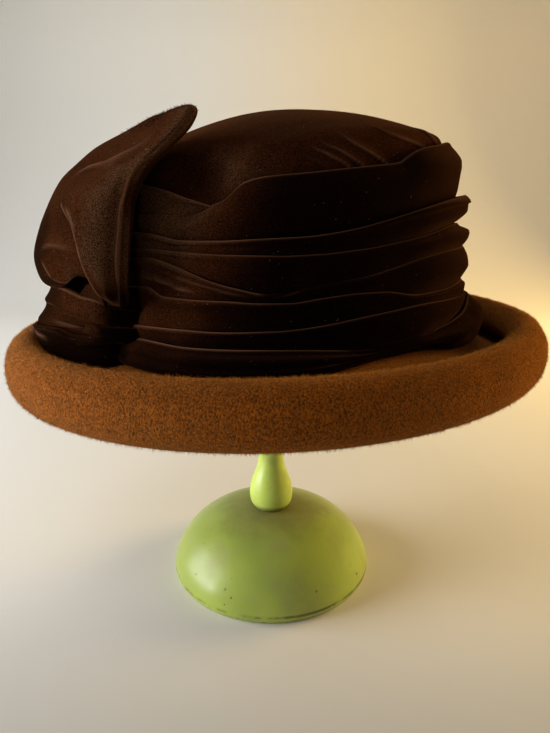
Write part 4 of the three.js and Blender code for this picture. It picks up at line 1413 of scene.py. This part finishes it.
def brown_felt(tree, shader, where, finishes):
    """Caramel velour felt, its nap brushed upwards into light and dark clumps."""
    brushed = node(tree, "VectorMath", {0: where, 1: (1, 1, 0.65)}, operation="MULTIPLY")[0]
    fibre = use_group(tree, "brushed fibre", {"Vector": brushed, "Clump Scale": 1350.0,
                                              "Grain Scale": 3000.0, "Patch Scale": 26.0})
    base = mix_colour(tree, fibre["Clumps"], shade_of(finishes.felt, 0.26),
                      shade_of(finishes.felt, 1.75))
    patchy = mix_colour(tree, fibre["Patches"], (0.85, 0.85, 0.8, 1), (1.1, 1.05, 1.0, 1))
    base = mix_colour(tree, 1.0, base, patchy, "MULTIPLY")
    set_shader(tree, shader, {
        "Base Color": base, "Roughness": 0.95, "Specular IOR Level": 0.15,
        "Sheen Weight": 0.24, "Sheen Roughness": 0.5, "Sheen Tint": (1.0, 0.5, 0.1, 1),
        "Normal": bump(tree, fibre["Height"], 0.9, 0.0015)})


def felt_nap(tree, shader, where, finishes):
    """Hairs of the felt's nap, that catch the light in clumps."""
    fibre = use_group(tree, "brushed fibre", {"Vector": where, "Clump Scale": 900.0,
                                              "Grain Scale": 2600.0, "Patch Scale": 26.0})
    base = mix_colour(tree, fibre["Clumps"], shade_of(finishes.felt, 0.3), (0.6, 0.21, 0.014, 1))
    set_shader(tree, shader, {"Base Color": base, "Roughness": 0.8, "Specular IOR Level": 0.2})


def lint(tree, shader, where, finishes):
    """Greyish lint and hairs."""
    base = mix_colour(tree, noise(tree, where, 120.0), (0.12, 0.08, 0.055, 1),
                      (0.32, 0.25, 0.19, 1))
    set_shader(tree, shader, {"Base Color": base, "Roughness": 0.7})


def green_paint(tree, shader, where, finishes):
    """Glossy apple-green paint, dusty about the stem and nicked near the foot, with painted light
    on the stem.
    """
    place = node(tree, "SeparateXYZ", {"Vector": where})
    radius = maths(tree, "SQRT", maths(tree, "ADD", maths(tree, "POWER", place["X"], 2.0),
                                       maths(tree, "POWER", place["Y"], 2.0)))
    mottle = noise(tree, where, 42.0, 5.0, 0.62)
    broad = noise(tree, where, 13.0, 3.0)
    fine = noise(tree, where, 900.0, 3.0)

    base = mix_colour(tree, remap(tree, broad, 0.35, 0.65), shade_of(finishes.paint, 0.82),
                      shade_of(finishes.paint, 1.12))
    # Painted light: the stem's paint is made lighter where the brim shades it.
    stem_painted_light = remap(tree, place["Z"], 0.045, 0.048)
    base = mix_colour(tree, stem_painted_light, base, shade_of(finishes.paint, 1.45))
    film = multiply(tree, remap(tree, mottle, 0.46, 0.72), 0.5)
    base = mix_colour(tree, film, base, shade_of((0.36, 0.36, 0.13), 0.85))

    on_base = remap(tree, place["Z"], 0.047, 0.0435)
    ragged = multiply(tree, maths(tree, "SUBTRACT", mottle, 0.5), 0.05)
    near_stem = remap(tree, maths(tree, "ADD", radius, ragged), 0.046, 0.012)
    dust = multiply(tree, multiply(tree, near_stem, on_base), 0.7)
    base = mix_colour(tree, dust, base, solid(finishes.dust))

    nicks = use_group(tree, "scattered specks", {"Vector": where, "Scale": 260.0, "Size": 0.2,
                                                 "Amount": 0.07})["Mask"]
    low = remap(tree, place["Z"], 0.026, 0.006)
    nicks = maths(tree, "MULTIPLY", nicks, maths(tree, "ADD", multiply(tree, low, 0.75), 0.25),
                  clamp=True)
    ring = multiply(tree, remap(tree, place["Z"], 0.0062, 0.0052),
                    remap(tree, place["Z"], 0.0036, 0.0046))
    ring = multiply(tree, ring, remap(tree, mottle, 0.4, 0.55, 0, 0.75))
    marks = maths(tree, "MAXIMUM", nicks, ring)
    base = mix_colour(tree, marks, base, (0.06, 0.045, 0.012, 1))

    height = maths(tree, "SUBTRACT", multiply(tree, fine, 0.12), marks)
    set_shader(tree, shader, {
        "Base Color": base,
        "Roughness": maths(tree, "ADD", multiply(tree, dust, 0.35),
                           remap(tree, mottle, 0.3, 0.75, 0.26, 0.42)),
        "Specular IOR Level": 0.3, "Coat Weight": 0.05, "Coat Roughness": 0.25,
        "Normal": bump(tree, height, 0.35, 0.0005)})


def pale_floor(tree, shader, where, finishes):
    """Floor painted cool by the window and warm by the lamp, as painted light, and a little darker
    in front, as painted shade.
    """
    place = node(tree, "SeparateXYZ", {"Vector": where})
    # Painted light: the window's cool tint on the left to the lamp's warm tint on the right.
    base = mix_colour(tree, remap(tree, place["X"], -0.45, 0.5), solid(finishes.floor_left),
                      solid(finishes.floor_right))
    # Painted shade: the floor is made a little darker in front.
    darker = mix_colour(tree, 1.0, base, (0.62, 0.64, 0.68, 1), "MULTIPLY")
    base = mix_colour(tree, remap(tree, place["Y"], -0.02, -0.16), base, darker)
    set_shader(tree, shader, {"Base Color": base, "Roughness": 0.75})


MATERIALS = {"dark velvet": dark_velvet, "brown felt": brown_felt, "felt nap": felt_nap,
             "lint": lint, "green paint": green_paint, "pale floor": pale_floor}


def get_material(name):
    """A material, made the first time that it is asked for."""
    if name not in bpy.data.materials:
        material = bpy.data.materials.new(name)
        material.use_nodes = True
        tree = material.node_tree
        tree.nodes.clear()
        shader = tree.nodes.new("ShaderNodeBsdfPrincipled")
        output = tree.nodes.new("ShaderNodeOutputMaterial")
        tree.links.new(shader.outputs["BSDF"], output.inputs["Surface"])
        where = tree.nodes.new("ShaderNodeTexCoord").outputs["Object"]
        MATERIALS[name](tree, shader, where, bpy.context.scene.breton_finishes)
    return bpy.data.materials[name]


# --- Stage --------------------------------------------------------------------------------

# The stage is in metres. The floor ends in a sweep, which rises into a wall.
FLOOR_SIZE = (6, 4.2)
FLOOR_MIDDLE = (0, -1.1, -0.0002)
SWEEP_RADIUS = 0.8
SWEEP_STEPS = 12
WALL_HEIGHT = 2.2
LOOKED_AT = (0, 0, 0.17)
# Lights: where each stands, its width and height, watts, colour and what it is turned to.
LIGHTS = {
    "window": ((-1.25, -0.12, 0.38), (1.0, 0.8), 24, (0.94, 0.96, 1.0), LOOKED_AT),
    "lamp": ((1.25, 0.5, 0.36), (0.8, 0.5), 23, (1.0, 0.74, 0.32), (0, 0, 0.24)),
    "low window": ((-1.0, -0.35, 0.14), (0.3, 0.16), 1.9, (0.96, 0.98, 1.0), (0, 0, 0.1)),
    "fill": ((-0.3, -0.7, 1.5), (0.7, 0.5), 2.6, (1.0, 0.93, 0.84), LOOKED_AT),
    "back left": ((-0.75, 0.75, 0.66), (1.0, 0.25), 1.3, (0.92, 0.96, 1.0), (-0.75, 1.5, 0.1)),
    "back right": ((0.8, 0.75, 0.66), (1.0, 0.25), 1.3, (1.0, 0.78, 0.47), (0.8, 1.5, 0.1)),
}
ROOM_COLOUR = (1.0, 0.93, 0.86, 1)
ROOM_STRENGTH = 0.18
CAMERA_PLACE = (0.0026, -0.337, 0.230)
CAMERA_DOWN = 15.2         # how far the camera looks down
LENS, SENSOR_HEIGHT = 27.307, 36.0


def swept_floor():
    """A floor whose back edge is swept up into a wall."""
    bpy.ops.object.select_all(action="DESELECT")
    bpy.ops.mesh.primitive_plane_add(size=1, location=(0, 0, 0))
    floor = bpy.context.object
    floor.name = floor.data.name = "floor"
    floor.scale = (*FLOOR_SIZE, 1)
    floor.location = FLOOR_MIDDLE
    bpy.ops.object.transform_apply(location=True, rotation=True, scale=True)
    back = max(v.co.y for v in floor.data.vertices)
    bpy.ops.object.mode_set(mode="EDIT")
    bpy.ops.mesh.select_mode(type="VERT")
    bpy.ops.mesh.select_all(action="DESELECT")
    bpy.ops.object.mode_set(mode="OBJECT")
    for vertex in floor.data.vertices:
        vertex.select = vertex.co.y > back - 1e-4
    bpy.ops.object.mode_set(mode="EDIT")
    turns = [math.pi / 2 * k / SWEEP_STEPS for k in range(SWEEP_STEPS + 1)]
    path = [(SWEEP_RADIUS * math.sin(a), SWEEP_RADIUS * (1 - math.cos(a))) for a in turns]
    path.append((SWEEP_RADIUS, SWEEP_RADIUS + WALL_HEIGHT))
    for (y0, z0), (y1, z1) in zip(path, path[1:]):
        bpy.ops.mesh.extrude_edges_move(
            TRANSFORM_OT_translate={"value": (0, y1 - y0, z1 - z0)})
    bpy.ops.object.mode_set(mode="OBJECT")
    bpy.ops.object.shade_smooth()
    floor.data.materials.append(get_material("pale floor"))
    return floor


def area_light(name, place, size, power, colour, aim):
    """A rectangular light, turned to what it is aimed at."""
    light = bpy.data.lights.new(name, "AREA")
    light.shape = "RECTANGLE"
    light.size, light.size_y = size
    light.energy = power
    light.color = colour
    lamp = bpy.data.objects.new(name, light)
    bpy.context.scene.collection.objects.link(lamp)
    lamp.location = place
    lamp.rotation_euler = (Vector(aim) - Vector(place)).to_track_quat("-Z", "Y").to_euler()
    return lamp


class HAT_OT_stage(Operator):
    """Pale floor that sweeps up behind, soft window light from the left, and the camera"""
    bl_idname = "hat.stage"
    bl_label = "Floor, light and camera"

    def execute(self, context):
        scene = context.scene
        swept_floor()
        for name, light in LIGHTS.items():
            lamp = area_light(name, *light)
            lamp.visible_glossy = name != "lamp"    # the lamp isn't mirrored in the paint

        world = bpy.data.worlds.new("room")
        world.use_nodes = True
        background = world.node_tree.nodes["Background"].inputs
        background["Color"].default_value = ROOM_COLOUR
        background["Strength"].default_value = ROOM_STRENGTH
        scene.world = world

        camera = bpy.data.cameras.new("camera")
        camera.sensor_fit = "VERTICAL"
        camera.sensor_height = SENSOR_HEIGHT
        camera.lens = LENS
        eye = bpy.data.objects.new("camera", camera)
        scene.collection.objects.link(eye)
        eye.location = CAMERA_PLACE
        eye.rotation_euler = (math.radians(90 - CAMERA_DOWN), 0, 0)
        scene.camera = eye
        scene.view_settings.view_transform = "Standard"
        return {"FINISHED"}


# --- Settings, panel and run --------------------------------------------------------------

class BretonHatSizes(PropertyGroup):
    """Sizes of the hat"""
    head_length: FloatProperty(name="Head length", description="Length of the head opening",
                               default=0.198, unit="LENGTH")
    head_width: FloatProperty(name="Head width", description="Width of the head opening",
                              default=0.168, unit="LENGTH")
    head_turn: FloatProperty(name="Head turn", description="Azimuth of the opening's length",
                             default=math.radians(37), subtype="ANGLE")
    felt_thickness: FloatProperty(name="Felt", description="Thickness of the brim's felt",
                                  default=0.003, unit="LENGTH")
    nap_length: FloatProperty(name="Nap", description="Length of the brushed nap",
                              default=0.0016, unit="LENGTH")
    nap_hairs: IntProperty(name="Nap hairs", description="Hairs on the brim's roll",
                           default=65000)
    velvet_thickness: FloatProperty(name="Velvet", description="Thickness of the crown's wall",
                                    default=0.002, unit="LENGTH")
    loop_thickness: FloatProperty(name="Bow velvet", description="Thickness of a bow loop",
                                  default=0.0024, unit="LENGTH")


class BretonStandSizes(PropertyGroup):
    """Sizes of the stand, from the frame"""
    base_radius: FloatProperty(name="Base radius", description="Half width of the round base",
                               default=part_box("stand_base")[1].x, unit="LENGTH")
    base_height: FloatProperty(name="Base height", description="Height of the stem's seat",
                               default=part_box("stand_base")[1].z, unit="LENGTH")


class BretonFinishes(PropertyGroup):
    """Colours of the hat, the stand and the floor"""
    felt: FloatVectorProperty(name="Felt", description="Colour of the brim", size=3,
                              default=(0.25, 0.065, 0.0022), subtype="COLOR")
    velvet: FloatVectorProperty(name="Velvet", description="Colour of the velvet's ground",
                                size=3, default=(0.0035, 0.0014, 0.0008), subtype="COLOR")
    # Painted light: colour of the pile where it is painted lit.
    lit_velvet: FloatVectorProperty(name="Pale velvet", description="Its pile seen side on",
                                     size=3, default=(0.053, 0.0235, 0.0105), subtype="COLOR")
    # Painted light: colour of the pile where it is painted half lit.
    half_lit_velvet: FloatVectorProperty(name="Warm velvet", description="Its pile at a slant",
                                     size=3, default=(0.027, 0.0078, 0.0026), subtype="COLOR")
    velvet_sheen: FloatVectorProperty(name="Velvet sheen", description="Colour of its sheen",
                                      size=3, default=(0.085, 0.033, 0.013), subtype="COLOR")
    # Painted highlight: colour of the crests of the folds.
    highlight_velvet: FloatVectorProperty(name="Worn velvet", description="Colour of worn crests",
                                     size=3, default=(0.24, 0.112, 0.06), subtype="COLOR")
    # Strength of the painted highlight on the crests.
    crest_shine: FloatProperty(name="Wear", description="How much the folds' crests are worn",
                        default=0.85, subtype="FACTOR")
    paint: FloatVectorProperty(name="Paint", description="Colour of the stand", size=3,
                               default=(0.34, 0.42, 0.07), subtype="COLOR")
    dust: FloatVectorProperty(name="Dust", description="Colour of dust on the stand", size=3,
                              default=(0.17, 0.135, 0.05), subtype="COLOR")
    # Painted light: the floor's tint on the window's side and on the lamp's side.
    floor_left: FloatVectorProperty(name="Floor, left", description="Floor by the window",
                                    size=3, default=(0.80, 0.81, 0.80), subtype="COLOR")
    floor_right: FloatVectorProperty(name="Floor, right", description="Floor by the lamp",
                                     size=3, default=(0.87, 0.76, 0.55), subtype="COLOR")


class HAT_PT_panel(Panel):
    """Lists the settings and the operators"""
    bl_idname = "HAT_PT_panel"
    bl_label = "Breton hat"
    bl_space_type = "VIEW_3D"
    bl_region_type = "UI"
    bl_category = "Hat"

    def draw(self, context):
        layout = self.layout
        scene = context.scene
        for title, settings in (("Hat", scene.breton_hat_sizes),
                                ("Stand", scene.breton_stand_sizes),
                                ("Finishes", scene.breton_finishes)):
            box = layout.box()
            box.label(text=title)
            for name in settings.__annotations__:
                box.prop(settings, name)
        for operator in OPERATORS:
            layout.operator(operator.bl_idname)


OPERATORS = (HAT_OT_stage, HAT_OT_stand, HAT_OT_brim, HAT_OT_nap, HAT_OT_crown, HAT_OT_band,
             HAT_OT_upper_loop, HAT_OT_lower_loop, HAT_OT_fibres)
CLASSES = (BretonHatSizes, BretonStandSizes, BretonFinishes, *OPERATORS, HAT_PT_panel)


def register():
    """Registers the classes and gives the scene its settings."""
    for cls in CLASSES:
        bpy.utils.register_class(cls)
    bpy.types.Scene.breton_hat_sizes = PointerProperty(type=BretonHatSizes)
    bpy.types.Scene.breton_stand_sizes = PointerProperty(type=BretonStandSizes)
    bpy.types.Scene.breton_finishes = PointerProperty(type=BretonFinishes)


def unregister():
    """Takes away what register added."""
    del bpy.types.Scene.breton_finishes
    del bpy.types.Scene.breton_stand_sizes
    del bpy.types.Scene.breton_hat_sizes
    for cls in reversed(CLASSES):
        bpy.utils.unregister_class(cls)


def main():
    register()
    bpy.ops.hat.stage()
    bpy.ops.hat.stand()
    bpy.ops.hat.brim()
    bpy.ops.hat.nap()
    bpy.ops.hat.crown()
    bpy.ops.hat.band()
    bpy.ops.hat.upper_loop()
    bpy.ops.hat.lower_loop()
    bpy.ops.hat.fibres()


if __name__ == "__main__":
    main()
